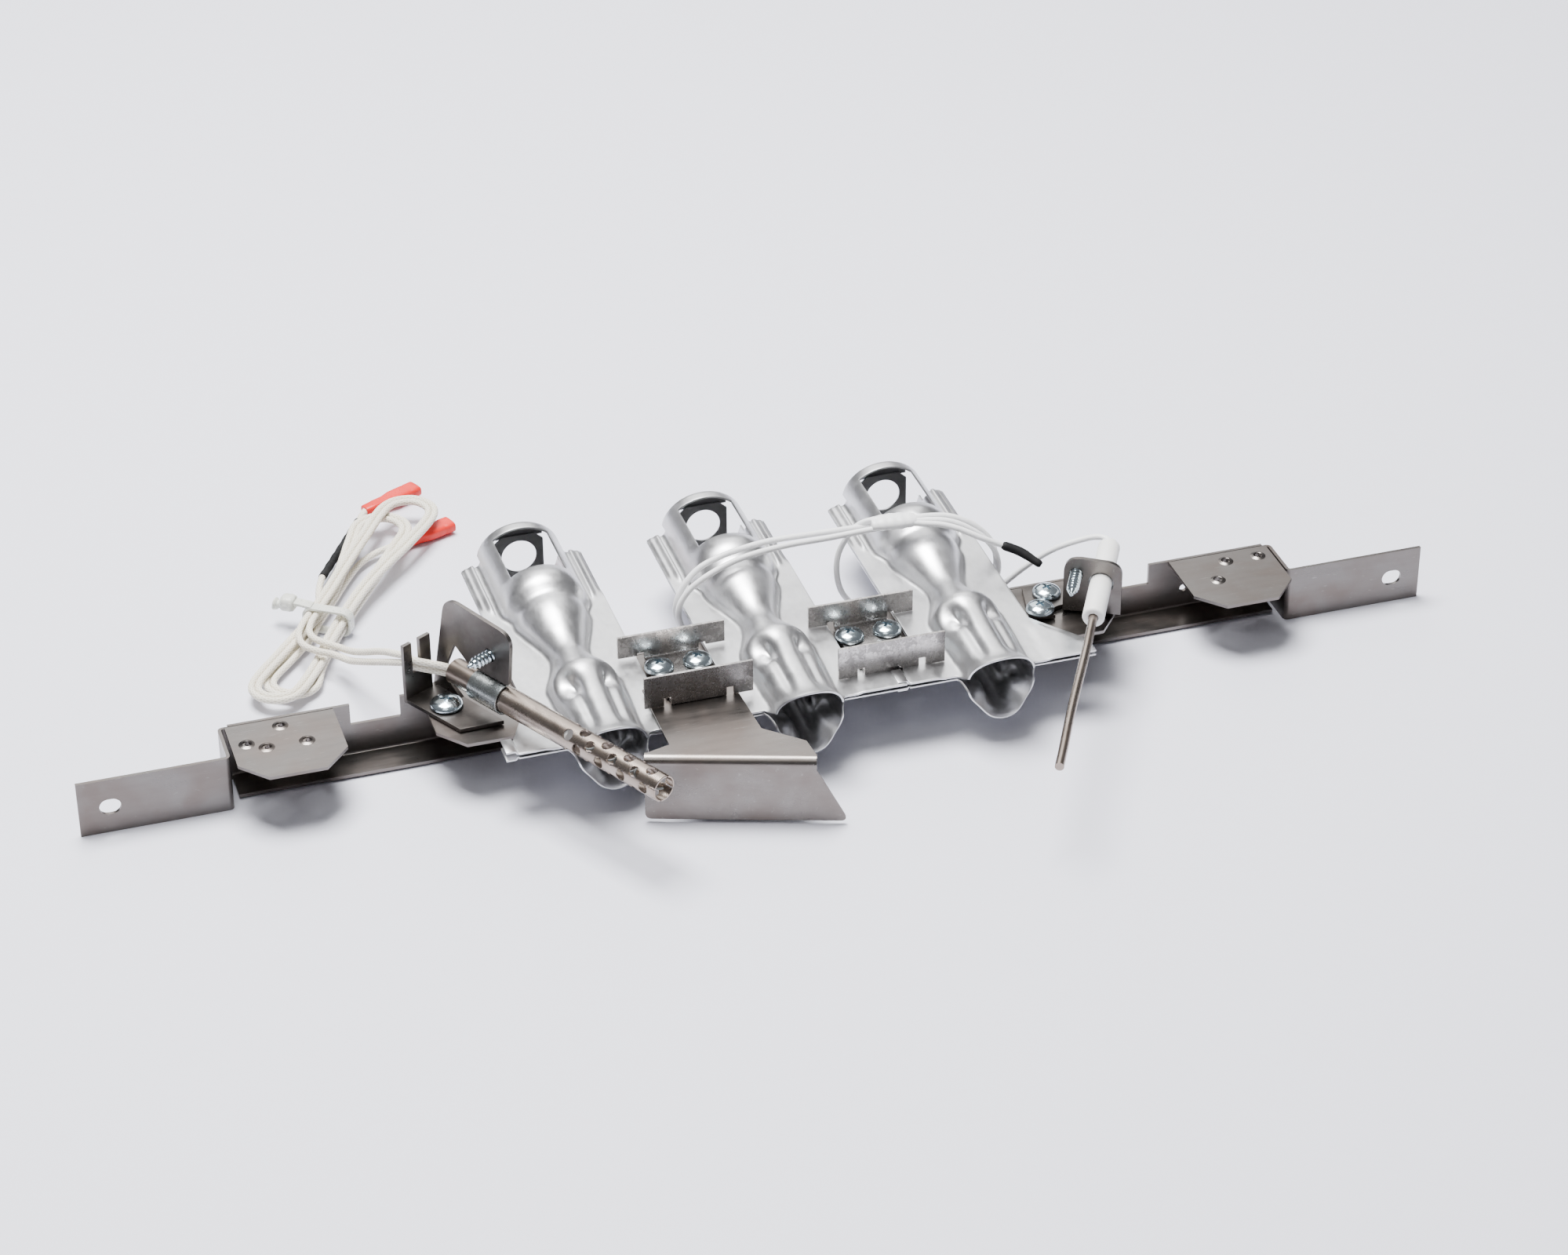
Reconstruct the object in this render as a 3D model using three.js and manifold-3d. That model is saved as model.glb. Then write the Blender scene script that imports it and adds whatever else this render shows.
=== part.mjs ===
// Three-burner in-shot gas burner assembly on its support rail.
// Millimetres, +Z up, +X along the rail, -Y is the flame side.
// Until the last lines everything is placed from the middle of the rail:
// X = 0 at the middle burner, Y = 0 at the front of the rail's web, Z = 0 on the rail's top tabs.
import * as THREE from 'three';
import { mergeVertices } from 'three/addons/utils/BufferGeometryUtils.js';
import Module from 'manifold-3d';

const wasm = await Module();
wasm.setup();

// ---------------------------------------------------------------- driving dimensions
const CLEARANCE = 0.3;            // gap between pieces that touch or rest on each other
const RAIL_LENGTH = 494.8;
const RAIL_SHEET = 1.2;
const RAIL_DEPTH = 21.3;          // top tabs to underside of the bottom flange
const RAIL_FLANGE = 12.7;         // bottom flange, forward of the web
const END_TAB_LENGTH = 52.4;
const END_TAB_DROP = 0.8;         // the end tabs sit this much lower than the web
const END_TAB_SET = 18;           // how far the end tabs are jogged forward of the web
const END_SLOT = { width: 7.5, height: 6, fromEnd: 10.9, down: 11.8 };
const NOTCH_DEPTH = 8.2;          // low stretches of the web beside the flaps
const RAIL_HOLE = 3;

const BURNER_COUNT = 3;
const BURNER_PITCH = 70;
const BURNER_SHEET = 0.7;
const BURNER_BACK = 75;           // Y of the air-inlet end
const MOUTH_Y = -56;              // Y of the outlet, at the wings
const MOUTH_BULGE = 4;            // the outlet rim stands this much further out at top and bottom
const SHELL_GAP = 0.5;            // gap between the shells' wings, the carry-over slot
const TUNNEL_RADIUS = 15.5;
const THROAT_RADIUS = 6.6;
const MOUTH_RADIUS = 12;
const WING_HALF = 22.5;
const SPUD_HOLE = 13;             // hole for the gas orifice
const SPUD_RISE = 0.8;            // its centre over the burner's axis
const WINDOW_WIDTH = 20.8;        // air window over the inlet
const SPUD_PLATE_HALF = 9.2;

const BRACKET_SHEET = 1;
const BRACKET_WIDTH = 39;
const BRACKET_BASE = 21.4;
const BRACKET_REAR = -6;          // Y of the rear wall's front face
const BRACKET_FRONT = -40.5;      // Y of the front wall's front face
const BRACKET_TOP = 11;           // top of the rear wall
const BRACKET_FRONT_TOP = 14.8;
const SCREW_SPACING = 14;
const SCREW_ROW = -14.4;          // Y of the joint screws

const SCREW_HEAD = 10.4;
const SCREW_HEAD_HEIGHT = 3;
const SCREW_SHANK = 4.6;
const SCREW_LENGTH = 10;

const DEFLECTOR_SHEET = 0.8;

const IGNITER_SHEET = 1.5;
const IGNITER_TUBE = 9.5;
const IGNITER_WALL = 0.6;
const IGNITER_TUBE_LENGTH = 102.5;
const IGNITER_ANGLE = 28.5;       // degrees the tube turns inwards
const IGNITER_AXIS_Z = 11.9;
const PORT_HOLE = 3.6;

const SENSOR_SHEET = 1.5;
const SENSOR_CERAMIC = 7.9;
const SENSOR_CERAMIC_LENGTH = 48.6;
const SENSOR_ROD = 3.2;
const SENSOR_ROD_REACH = 92.6;    // from the ceramic's lower end to the tip
const SENSOR_ANGLE = -28;
const SENSOR_AXIS_Z = 13.6;

const IGNITER_LEAD = 2.5;
const SENSOR_LEAD = 2.2;

const BEND_STEPS = 5;             // facets in each sheet bend

// ---------------------------------------------------------------- materials
const finish = (color, roughness, metalness) =>
  new THREE.MeshStandardMaterial({ color, roughness, metalness });
const RAIL_STEEL = finish(0x8f8882, 0.42, 0.9);
const ALUMINISED = finish(0xc9cacb, 0.3, 0.9);
const GALVANISED = finish(0xa5a4a3, 0.4, 0.85);
const STAINLESS = finish(0xa79d93, 0.3, 0.95);
const BRACKET_STEEL = finish(0x8c8884, 0.4, 0.9);
const ZINC = finish(0xc4d4dc, 0.2, 0.95);
const CERAMIC = finish(0xf4f2ee, 0.45, 0);
const ELEMENT_GREY = finish(0x8d9490, 0.7, 0);
const BRAID = finish(0xe9e3d6, 0.85, 0);
const SILICONE = finish(0xf6f6f8, 0.5, 0);
const RED_VINYL = finish(0xf25c55, 0.35, 0);
const NYLON = finish(0xeeede4, 0.4, 0);
const BLACK_SLEEVE = finish(0x2c2b2b, 0.6, 0);

// ---------------------------------------------------------------- solid helpers
const V2 = (x, y) => new THREE.Vector2(x, y);
const V3 = (x, y, z) => new THREE.Vector3(x, y, z);

/** A closed three.js geometry as a manifold solid. */
function solid(geometry) {
  const bare = geometry.index ? geometry.toNonIndexed() : geometry.clone();
  bare.deleteAttribute('normal');
  bare.deleteAttribute('uv');
  const merged = mergeVertices(bare, 1e-4);
  const body = new wasm.Manifold(new wasm.Mesh({
    numProp: 3,
    vertProperties: new Float32Array(merged.attributes.position.array),
    triVerts: new Uint32Array(merged.index.array),
  }));
  return body;
}

/** A manifold solid as a three.js geometry. */
function geometryOf(body) {
  const mesh = body.getMesh();
  const geometry = new THREE.BufferGeometry();
  geometry.setAttribute('position', new THREE.BufferAttribute(new Float32Array(mesh.vertProperties), 3));
  geometry.setIndex(new THREE.BufferAttribute(new Uint32Array(mesh.triVerts), 1));
  geometry.computeVertexNormals();
  return geometry;
}

const join = (...bodies) => bodies.reduce((sum, next) => sum.add(next));
const cut = (body, ...tools) => tools.reduce((left, tool) => left.subtract(tool), body);

/** An axis-aligned block between two corners. */
function block(x0, y0, z0, x1, y1, z1) {
  const geometry = new THREE.BoxGeometry(x1 - x0, y1 - y0, z1 - z0);
  geometry.translate((x0 + x1) / 2, (y0 + y1) / 2, (z0 + z1) / 2);
  return solid(geometry);
}

/** A flat outline in the XY plane made thick from z0 to z1. */
function slab(points, z0, z1) {
  const shape = points instanceof THREE.Shape ? points : new THREE.Shape(points.map(([x, y]) => V2(x, y)));
  const geometry = new THREE.ExtrudeGeometry(shape, { depth: z1 - z0, bevelEnabled: false, curveSegments: 6 });
  geometry.translate(0, 0, z0);
  return solid(geometry);
}

/** A flat outline in the YZ plane made thick from x0 to x1. */
function slabX(points, x0, x1) {
  const shape = points instanceof THREE.Shape ? points : new THREE.Shape(points.map(([y, z]) => V2(y, z)));
  const geometry = new THREE.ExtrudeGeometry(shape, { depth: x1 - x0, bevelEnabled: false, curveSegments: 6 });
  geometry.applyMatrix4(new THREE.Matrix4().makeBasis(V3(0, 1, 0), V3(0, 0, 1), V3(1, 0, 0)));
  geometry.translate(x0, 0, 0);
  return solid(geometry);
}

/** A flat outline in the XZ plane made thick from y0 to y1. */
function slabY(points, y0, y1) {
  const shape = points instanceof THREE.Shape ? points : new THREE.Shape(points.map(([x, z]) => V2(x, z)));
  const geometry = new THREE.ExtrudeGeometry(shape, { depth: y1 - y0, bevelEnabled: false, curveSegments: 6 });
  geometry.applyMatrix4(new THREE.Matrix4().makeBasis(V3(1, 0, 0), V3(0, 0, 1), V3(0, -1, 0)));
  geometry.translate(0, y1, 0);
  return solid(geometry);
}

/** A round bar between two points. */
function bar(from, to, radius, sides = 16) {
  const axis = to.clone().sub(from);
  const geometry = new THREE.CylinderGeometry(radius, radius, axis.length(), sides);
  const turn = new THREE.Quaternion().setFromUnitVectors(V3(0, 1, 0), axis.clone().normalize());
  geometry.applyQuaternion(turn);
  geometry.translate(...from.clone().add(to).multiplyScalar(0.5).toArray());
  return solid(geometry);
}

/** The outline of a folded strip: its centre line's corners, its thickness and its bend radius. */
function foldedStrip(corners, sheet, radius = sheet * 1.1) {
  const points = corners.map(([x, y]) => V2(x, y));
  const line = [{ at: points[0], along: points[1].clone().sub(points[0]).normalize() }];
  for (let i = 1; i < points.length - 1; i += 1) {
    const into = points[i].clone().sub(points[i - 1]).normalize();
    const out = points[i + 1].clone().sub(points[i]).normalize();
    const turn = Math.atan2(into.cross(out), into.dot(out));
    const back = radius * Math.tan(Math.abs(turn) / 2);
    const start = points[i].clone().addScaledVector(into, -back);
    const centre = start.clone().addScaledVector(V2(-into.y, into.x), Math.sign(turn) * radius);
    for (let k = 0; k <= BEND_STEPS; k += 1) {
      const angle = (turn * k) / BEND_STEPS;
      line.push({
        at: start.clone().rotateAround(centre, angle),
        along: into.clone().rotateAround(V2(0, 0), angle),
      });
    }
  }
  const last = points.length - 1;
  line.push({ at: points[last], along: points[last].clone().sub(points[last - 1]).normalize() });
  const side = (s) => line.map(({ at, along }) => at.clone().addScaledVector(V2(-along.y, along.x), s * sheet / 2));
  return new THREE.Shape([...side(-1), ...side(1).reverse()]);
}

/** A solid skinned over a row of closed rings that all have the same number of points. */
function loft(given) {
  const clockwise = THREE.ShapeUtils.area(given[0].map((p) => V2(p.x, p.z))) < 0;
  const rings = clockwise ? given.map((ring) => ring.slice().reverse()) : given;
  const count = rings[0].length;
  const positions = rings.flat().flatMap((p) => [p.x, p.y, p.z]);
  const faces = [];
  for (let r = 0; r < rings.length - 1; r += 1) {
    for (let i = 0; i < count; i += 1) {
      const a = r * count + i;
      const b = r * count + ((i + 1) % count);
      faces.push(a, b, b + count, a, b + count, a + count);
    }
  }
  const capOf = (ring) => THREE.ShapeUtils.triangulateShape(ring.map((p) => V2(p.x, p.z)), []);
  const end = (rings.length - 1) * count;
  capOf(rings[0]).forEach(([a, b, c]) => faces.push(a, c, b));
  capOf(rings[rings.length - 1]).forEach(([a, b, c]) => faces.push(end + a, end + b, end + c));
  const geometry = new THREE.BufferGeometry();
  geometry.setAttribute('position', new THREE.Float32BufferAttribute(positions, 3));
  geometry.setIndex(faces);
  return solid(geometry);
}

/** A round cord along a list of points. */
function cordAlong(points, diameter, steps) {
  const sides = 8;
  const section = new THREE.Shape();
  for (let i = 0; i < sides; i += 1) {
    const angle = (2 * Math.PI * i) / sides;
    const x = (diameter / 2) * Math.cos(angle);
    const y = (diameter / 2) * Math.sin(angle);
    if (i === 0) section.moveTo(x, y);
    else section.lineTo(x, y);
  }
  const path = new THREE.CatmullRomCurve3(points.map(([x, y, z]) => V3(x, y, z)), false, 'centripetal');
  return new THREE.ExtrudeGeometry(section, { steps, extrudePath: path, bevelEnabled: false });
}

const assembly = new THREE.Group();

/** Adds a named piece to a group. */
function piece(name, body, material, parent = assembly) {
  const geometry = body.isBufferGeometry ? body : geometryOf(body);
  const mesh = new THREE.Mesh(geometry, material);
  mesh.name = name;
  parent.add(mesh);
  return mesh;
}

/** A group at a place, turned about Z by an angle in degrees. */
function station(x, y, z, degrees = 0) {
  const group = new THREE.Group();
  group.position.set(x, y, z);
  group.rotation.z = THREE.MathUtils.degToRad(degrees);
  assembly.add(group);
  return group;
}

// ---------------------------------------------------------------- shared heights and places
const burnerX = Array.from({ length: BURNER_COUNT }, (_, i) => (i - (BURNER_COUNT - 1) / 2) * BURNER_PITCH);
const outerBurnerX = burnerX[BURNER_COUNT - 1];
const jointX = burnerX.slice(1).map((x, i) => (x + burnerX[i]) / 2);
const PARTING_Z = CLEARANCE + BURNER_SHEET + SHELL_GAP / 2;          // burner axis, above the rail tabs
const WING_TOP = PARTING_Z + SHELL_GAP / 2 + BURNER_SHEET;           // top of the upper shells' wings
const RISE_OVER_WINGS = WING_TOP + CLEARANCE;
const RISE_OVER_TABS = RISE_OVER_WINGS + BURNER_SHEET + CLEARANCE;    // the stepped tabs lie on a wing

// ---------------------------------------------------------------- support rail
const JOG_X = RAIL_LENGTH / 2 - END_TAB_LENGTH;
const FLAP = { inner: 39.9, outer: 1.8, side: 24.4, front: 34.3, chamfer: 10 };   // measured from the jog
const GROUP_TAB = { reach: 54.6, side: 25.5, front: 35.8, chamferX: 9.4 };        // igniter and sensor tabs
const JOINT_TAB_FRONT = 24;
const SADDLE_HALF = 13;
const SADDLE_DEPTH = PARTING_Z + 13;

function supportRail() {
  const half = RAIL_SHEET / 2;
  const lowTop = -NOTCH_DEPTH;
  const web = slabX(foldedStrip([[half, lowTop], [half, half - RAIL_DEPTH], [-RAIL_FLANGE, half - RAIL_DEPTH]],
    RAIL_SHEET), -JOG_X + 3, JOG_X - 3);
  const tab = (x0, x1, front) => slabX(
    foldedStrip([[half, lowTop - 1], [half, -half], [-front, -half]], RAIL_SHEET), x0, x1);
  const riser = (x0, x1) => block(x0, 0, lowTop - 1, x1, RAIL_SHEET, 0);
  const parts = [web];
  const cuts = [];
  for (const s of [-1, 1]) {
    const span = (a, b) => (s > 0 ? [a, b] : [-b, -a]);
    const flapIn = JOG_X - FLAP.inner;
    const flapOut = JOG_X - FLAP.outer;
    parts.push(tab(...span(flapIn, flapOut), FLAP.front));
    parts.push(riser(...span(flapIn - (s > 0 ? 7.6 : 5.8), JOG_X - 3)));
    const groupOut = outerBurnerX + GROUP_TAB.reach;
    const groupIn = outerBurnerX + SADDLE_HALF + 2;
    parts.push(tab(...span(groupIn, groupOut), GROUP_TAB.front), riser(...span(groupIn, groupOut + 6.9)));
    const corner = (x, y0, dx, y1) => slab([[s * x, -y0], [s * (x + dx), -y1 - 1], [s * (x + 4 * Math.sign(-dx)),
      -y1 - 1], [s * (x + 4 * Math.sign(-dx)), -y0]], -RAIL_SHEET - 1, 1);
    cuts.push(corner(flapOut, FLAP.side, -FLAP.chamfer, FLAP.front));
    cuts.push(corner(flapIn, FLAP.side, FLAP.chamfer, FLAP.front));
    cuts.push(corner(groupOut, GROUP_TAB.side, -GROUP_TAB.chamferX, GROUP_TAB.front));
    // jog and end tab, with its slot
    const jog = foldedStrip([[s * (JOG_X - 8), half], [s * JOG_X, half], [s * JOG_X, half - END_TAB_SET],
      [(s * RAIL_LENGTH) / 2, half - END_TAB_SET]], RAIL_SHEET);
    parts.push(slab(jog, -RAIL_DEPTH - END_TAB_DROP, -END_TAB_DROP));
    const slotX = s * (RAIL_LENGTH / 2 - END_SLOT.fromEnd);
    const run = (END_SLOT.width - END_SLOT.height) / 2;
    const slot = new THREE.Shape();
    slot.absarc(slotX + run, -END_SLOT.down, END_SLOT.height / 2, -Math.PI / 2, Math.PI / 2);
    slot.absarc(slotX - run, -END_SLOT.down, END_SLOT.height / 2, Math.PI / 2, (3 * Math.PI) / 2);
    cuts.push(slabY(slot, -END_TAB_SET - 3, -END_TAB_SET + 5));
    // pierced screw holes in the flap: offset from the flap's middle, and distance forward of the web
    const flapMid = s * (flapIn + flapOut) / 2;
    const pattern = s < 0 ? [[0.3, 5.2], [-12.9, 12.8], [-6.7, 16.8], [7.4, 16.8]]
      : [[0.6, 5.8], [13.2, 6.2], [-7.0, 16.8]];
    for (const [dx, y] of pattern) {
      cuts.push(bar(V3(flapMid + dx, -y, -3), V3(flapMid + dx, -y, 2), RAIL_HOLE / 2, 10));
    }
  }
  cuts.push(bar(V3(161.6, -2, -12.4), V3(161.6, 4, -12.4), RAIL_HOLE / 2, 10));
  for (const x of jointX) {
    const reach = BURNER_PITCH / 2 - SADDLE_HALF - 2;
    parts.push(tab(x - reach, x + reach, JOINT_TAB_FRONT), riser(x - reach - 2, x + reach + 2));
    for (const dx of [-1, 1]) {
      const at = x + (dx * SCREW_SPACING) / 2;
      cuts.push(bar(V3(at, SCREW_ROW, -3), V3(at, SCREW_ROW, 2), SCREW_SHANK / 2 + CLEARANCE, 12));
    }
  }
  // saddles that the burner bodies lie in
  for (const x of burnerX) {
    const saddle = new THREE.Shape();
    saddle.moveTo(x - SADDLE_HALF, 2);
    saddle.lineTo(x - SADDLE_HALF, -SADDLE_DEPTH / 2);
    saddle.quadraticCurveTo(x - SADDLE_HALF, -SADDLE_DEPTH, x, -SADDLE_DEPTH);
    saddle.quadraticCurveTo(x + SADDLE_HALF, -SADDLE_DEPTH, x + SADDLE_HALF, -SADDLE_DEPTH / 2);
    saddle.lineTo(x + SADDLE_HALF, 2);
    cuts.push(slabY(saddle, -1.5, RAIL_SHEET + 1));
  }
  cuts.push(...groupScrewHoles());
  return cut(join(...parts), ...cuts);
}

// ---------------------------------------------------------------- igniter and sensor stations
const IGNITER_PLACE = { x: -outerBurnerX - 60.4, y: -4.9 };
const SENSOR_PLACE = { x: outerBurnerX + 36.2, y: -20.1 };
const IGNITER_SCREW = { u: 7, w: 13.4 };                             // in the igniter bracket's own frame
const SENSOR_SCREWS = [{ u: -6.8, w: -8.4 }, { u: -7.6, w: 3 }];     // in the sensor bracket's own frame

/** Where a point of a turned station lies in the rail's frame: u is across, w is forward. */
function placed(place, degrees, u, w) {
  const angle = THREE.MathUtils.degToRad(degrees);
  return V2(place.x + u * Math.cos(angle) + w * Math.sin(angle),
    place.y + u * Math.sin(angle) - w * Math.cos(angle));
}

function groupScrewHoles() {
  const at = [placed(IGNITER_PLACE, IGNITER_ANGLE, IGNITER_SCREW.u, IGNITER_SCREW.w),
    ...SENSOR_SCREWS.map(({ u, w }) => placed(SENSOR_PLACE, SENSOR_ANGLE, u, w))];
  return at.map((p) => bar(V3(p.x, p.y, -3), V3(p.x, p.y, 2), SCREW_SHANK / 2 + CLEARANCE, 12));
}

// ---------------------------------------------------------------- burner shells
// The body's section at each station along Y: half-width, height over and depth under the parting plane.
const BODY = [
  { y: BURNER_BACK, half: TUNNEL_RADIUS, up: TUNNEL_RADIUS - 1.4, down: TUNNEL_RADIUS - 0.6 },
  { y: 70.5, half: TUNNEL_RADIUS, up: TUNNEL_RADIUS - 1.2, down: TUNNEL_RADIUS - 0.6 },
  { y: 44, half: TUNNEL_RADIUS, up: TUNNEL_RADIUS - 0.4, down: TUNNEL_RADIUS },
  { y: 34, half: TUNNEL_RADIUS, up: TUNNEL_RADIUS + 0.2, down: TUNNEL_RADIUS },
  { y: 28, half: 14.2, up: 14.2, down: 14.2 },
  { y: 16, half: 9.9, up: 10.2, down: 10.2 },
  { y: 5, half: THROAT_RADIUS, up: THROAT_RADIUS + 0.8, down: THROAT_RADIUS + 0.8 },
  { y: -1, half: THROAT_RADIUS + 0.2, up: THROAT_RADIUS + 1, down: THROAT_RADIUS + 1 },
  { y: -10, half: 9.6, up: 9.8, down: 10 },
  { y: -17, half: 12, up: 11.4, down: 12 },
  { y: -23, half: 12.4, up: 11.2, down: 12.4 },
  { y: -31, half: 12.2, up: 10.8, down: 12.4 },
  { y: -38, half: 11.9, up: 10.4, down: 12.3 },
  { y: -50, half: 11.6, up: 10, down: 12.2 },
  { y: MOUTH_Y, half: MOUTH_RADIUS, up: MOUTH_RADIUS - 1, down: MOUTH_RADIUS + 1 },
];
const WING_DIAGONAL_Y = -23;      // where the wings start to spread towards the neighbours
const WING_REACH_RIGHT = BURNER_PITCH / 2 + 2.4;
const WING_REACH_LEFT = BURNER_PITCH / 2 - 3.4;
const WING_END_Y = -42;
const TAB_REACH = 4.2;            // stepped end tabs of the left wing
const ARC_STEPS = 10;

/** Inward dimples beside the central ridge: share of the radius taken away. */
function dimple(angle, y) {
  const pit = (at, spread, yAt, ySpread, depth) =>
    depth * Math.exp(-(((angle - at) / spread) ** 2) - (((y - yAt) / ySpread) ** 2));
  return pit(2.25, 0.38, -25, 8.5, 0.26) + pit(0.85, 0.3, -25, 5, 0.2);
}

/** How far a wing reaches sideways at a place along Y. */
function wingReach(y, reach) {
  if (y > WING_DIAGONAL_Y) return WING_HALF;
  if (y < WING_END_Y) return reach;
  return THREE.MathUtils.mapLinear(y, WING_DIAGONAL_Y, WING_END_Y, WING_HALF, reach);
}

/** One ring of a shell: sheet of constant thickness over the wings and the body. */
function shellRing(s, side, sheet) {
  const up = side > 0 ? s.up : s.down;
  const z0 = side * SHELL_GAP / 2;
  const z1 = z0 + side * sheet;
  const arc = (shrink) => Array.from({ length: ARC_STEPS + 1 }, (_, i) => {
    const angle = (Math.PI * i) / ARC_STEPS;
    const scale = 1 - dimple(angle, s.y);
    const rise = Math.max(Math.sin(angle) * (up - shrink) * scale, 0);
    const bulge = s.bulge * Math.sin(angle) ** 2;
    return V3(Math.cos(angle) * (s.half - shrink) * (i % ARC_STEPS ? scale : 1), s.y - bulge, z0 + side * rise);
  });
  const inner = arc(sheet);
  const outer = arc(0);
  outer[0].z = z1;
  outer[ARC_STEPS].z = z1;
  const left = -wingReach(s.y, WING_REACH_LEFT);
  const right = wingReach(s.y, WING_REACH_RIGHT);
  const drop = s.drop ?? 0;
  const ring = [V3(right, s.y + drop, z0), ...inner, V3(left, s.y + drop, z0), V3(left, s.y + drop, z1),
    ...outer.reverse(), V3(right, s.y + drop, z1)];
  return ring;
}

function burnerShell(side) {
  const rings = BODY.map((s, i) => {
    const front = i === BODY.length - 1;
    const bulge = front ? MOUTH_BULGE : (s.y < -45 ? MOUTH_BULGE / 2 : 0);
    return shellRing({ ...s, bulge, drop: front ? 5.6 : 0 }, side, BURNER_SHEET);
  });
  let shell = loft(rings);
  // the wings stop short of the tunnel's back edge
  const trim = 4.5;
  for (const s of [-1, 1]) {
    const x = [s * (TUNNEL_RADIUS + 0.4), s * (WING_HALF + 2)].sort((a, b) => a - b);
    shell = shell.subtract(block(x[0], BURNER_BACK - trim, -3, x[1], BURNER_BACK + 1, 3));
  }
  const z = (h) => side * h;
  if (side > 0) {
    const sill = TUNNEL_RADIUS - 7;
    shell = shell.subtract(block(-WINDOW_WIDTH / 2, 43.5, sill, WINDOW_WIDTH / 2, BURNER_BACK - trim,
      TUNNEL_RADIUS + 3));
    const hanger = slabY([[-SPUD_PLATE_HALF, 8.4], [SPUD_PLATE_HALF, 8.4], [SPUD_PLATE_HALF, 10.7],
      [4, TUNNEL_RADIUS - 2], [-4, TUNNEL_RADIUS - 2], [-SPUD_PLATE_HALF, 10.7]],
    BURNER_BACK - BURNER_SHEET, BURNER_BACK);
    shell = shell.add(hanger);
  } else {
    const plateY = BURNER_BACK - BURNER_SHEET - CLEARANCE;
    const low = 11.8;
    const plate = slabY([[-SPUD_PLATE_HALF, -low], [-4, -TUNNEL_RADIUS + 1.2], [4, -TUNNEL_RADIUS + 1.2],
      [SPUD_PLATE_HALF, -low], [SPUD_PLATE_HALF, 7], [SPUD_PLATE_HALF - 3, 9.6], [3 - SPUD_PLATE_HALF, 9.6],
      [-SPUD_PLATE_HALF, 7]], plateY - BURNER_SHEET, plateY);
    const hole = bar(V3(0, plateY - 5, SPUD_RISE), V3(0, plateY + 5, SPUD_RISE), SPUD_HOLE / 2, 20);
    shell = shell.add(plate.subtract(hole));
  }
  // stepped tab at the end of the left wing, which takes the neighbour's wing between its two shells
  const step = BURNER_SHEET + CLEARANCE;
  const zIn = SHELL_GAP / 2;
  const zTab = zIn + step;
  const profile = [[-WING_REACH_LEFT + 0.6, z(zIn)], [-WING_REACH_LEFT - 0.6, z(zTab)],
    [-WING_REACH_LEFT - TAB_REACH, z(zTab)], [-WING_REACH_LEFT - TAB_REACH, z(zTab + BURNER_SHEET)],
    [-WING_REACH_LEFT - 0.9, z(zTab + BURNER_SHEET)], [-WING_REACH_LEFT + 0.6, z(zIn + BURNER_SHEET)]];
  const tab = slabY(side > 0 ? profile : profile.reverse(), WING_END_Y - 7.6, WING_END_Y + 0.5);
  return shell.add(tab);
}

// ---------------------------------------------------------------- joint brackets and deflector
const JOGGLE_BACK = -20;
const JOGGLE_FRONT = -24;

/** A joint bracket; frontRise lifts its front wall over what lies under it. */
function jointBracket(frontRise) {
  const half = BRACKET_SHEET / 2;
  const rear = BRACKET_REAR + half;
  const front = BRACKET_FRONT + half;
  const low = CLEARANCE + half;
  const high = low + WING_TOP + frontRise;
  const frontTop = BRACKET_FRONT_TOP + frontRise;
  const line = [[rear, BRACKET_TOP], [rear, low], [JOGGLE_BACK, low], [JOGGLE_FRONT, high],
    [front, high + 0.6], [front, frontTop]];
  const base = slabX(foldedStrip(line, BRACKET_SHEET), -BRACKET_BASE / 2, BRACKET_BASE / 2);
  const wall = (y, bottom, top) =>
    block(-BRACKET_WIDTH / 2, y - half, bottom, BRACKET_WIDTH / 2, y + half, top);
  const relief = 2.6;
  const cuts = [];
  for (const s of [-1, 1]) {
    for (const y of [rear, front]) {
      const x = [s * (BRACKET_BASE / 2 - relief * 0.3), s * (BRACKET_BASE / 2 + relief * 0.7)].sort((a, b) => a - b);
      cuts.push(block(x[0], y - 3, -1, x[1], y + 3, y === front ? 5.6 + frontRise : 3.6));
    }
    cuts.push(bar(V3((s * SCREW_SPACING) / 2, SCREW_ROW, -2), V3((s * SCREW_SPACING) / 2, SCREW_ROW, 4),
      SCREW_SHANK / 2 + CLEARANCE, 12));
  }
  return cut(join(base, wall(rear, RISE_OVER_WINGS, BRACKET_TOP),
    wall(front, RISE_OVER_WINGS + frontRise, frontTop)), ...cuts);
}

// The deflector's top plate and front plate, from its own joint's middle.
const DEFLECTOR_ANGLE = -18.8;
const DEFLECTOR_TOP = RISE_OVER_TABS + DEFLECTOR_SHEET;
const DEFLECTOR_BEND_LEFT = V2(-27.8, -68.4);
const DEFLECTOR_BEND_RADIUS = 2.6;
const DEFLECTOR_BEND_LENGTH = 58.4;
const DEFLECTOR_PLATE_LENGTH = 69;

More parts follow.
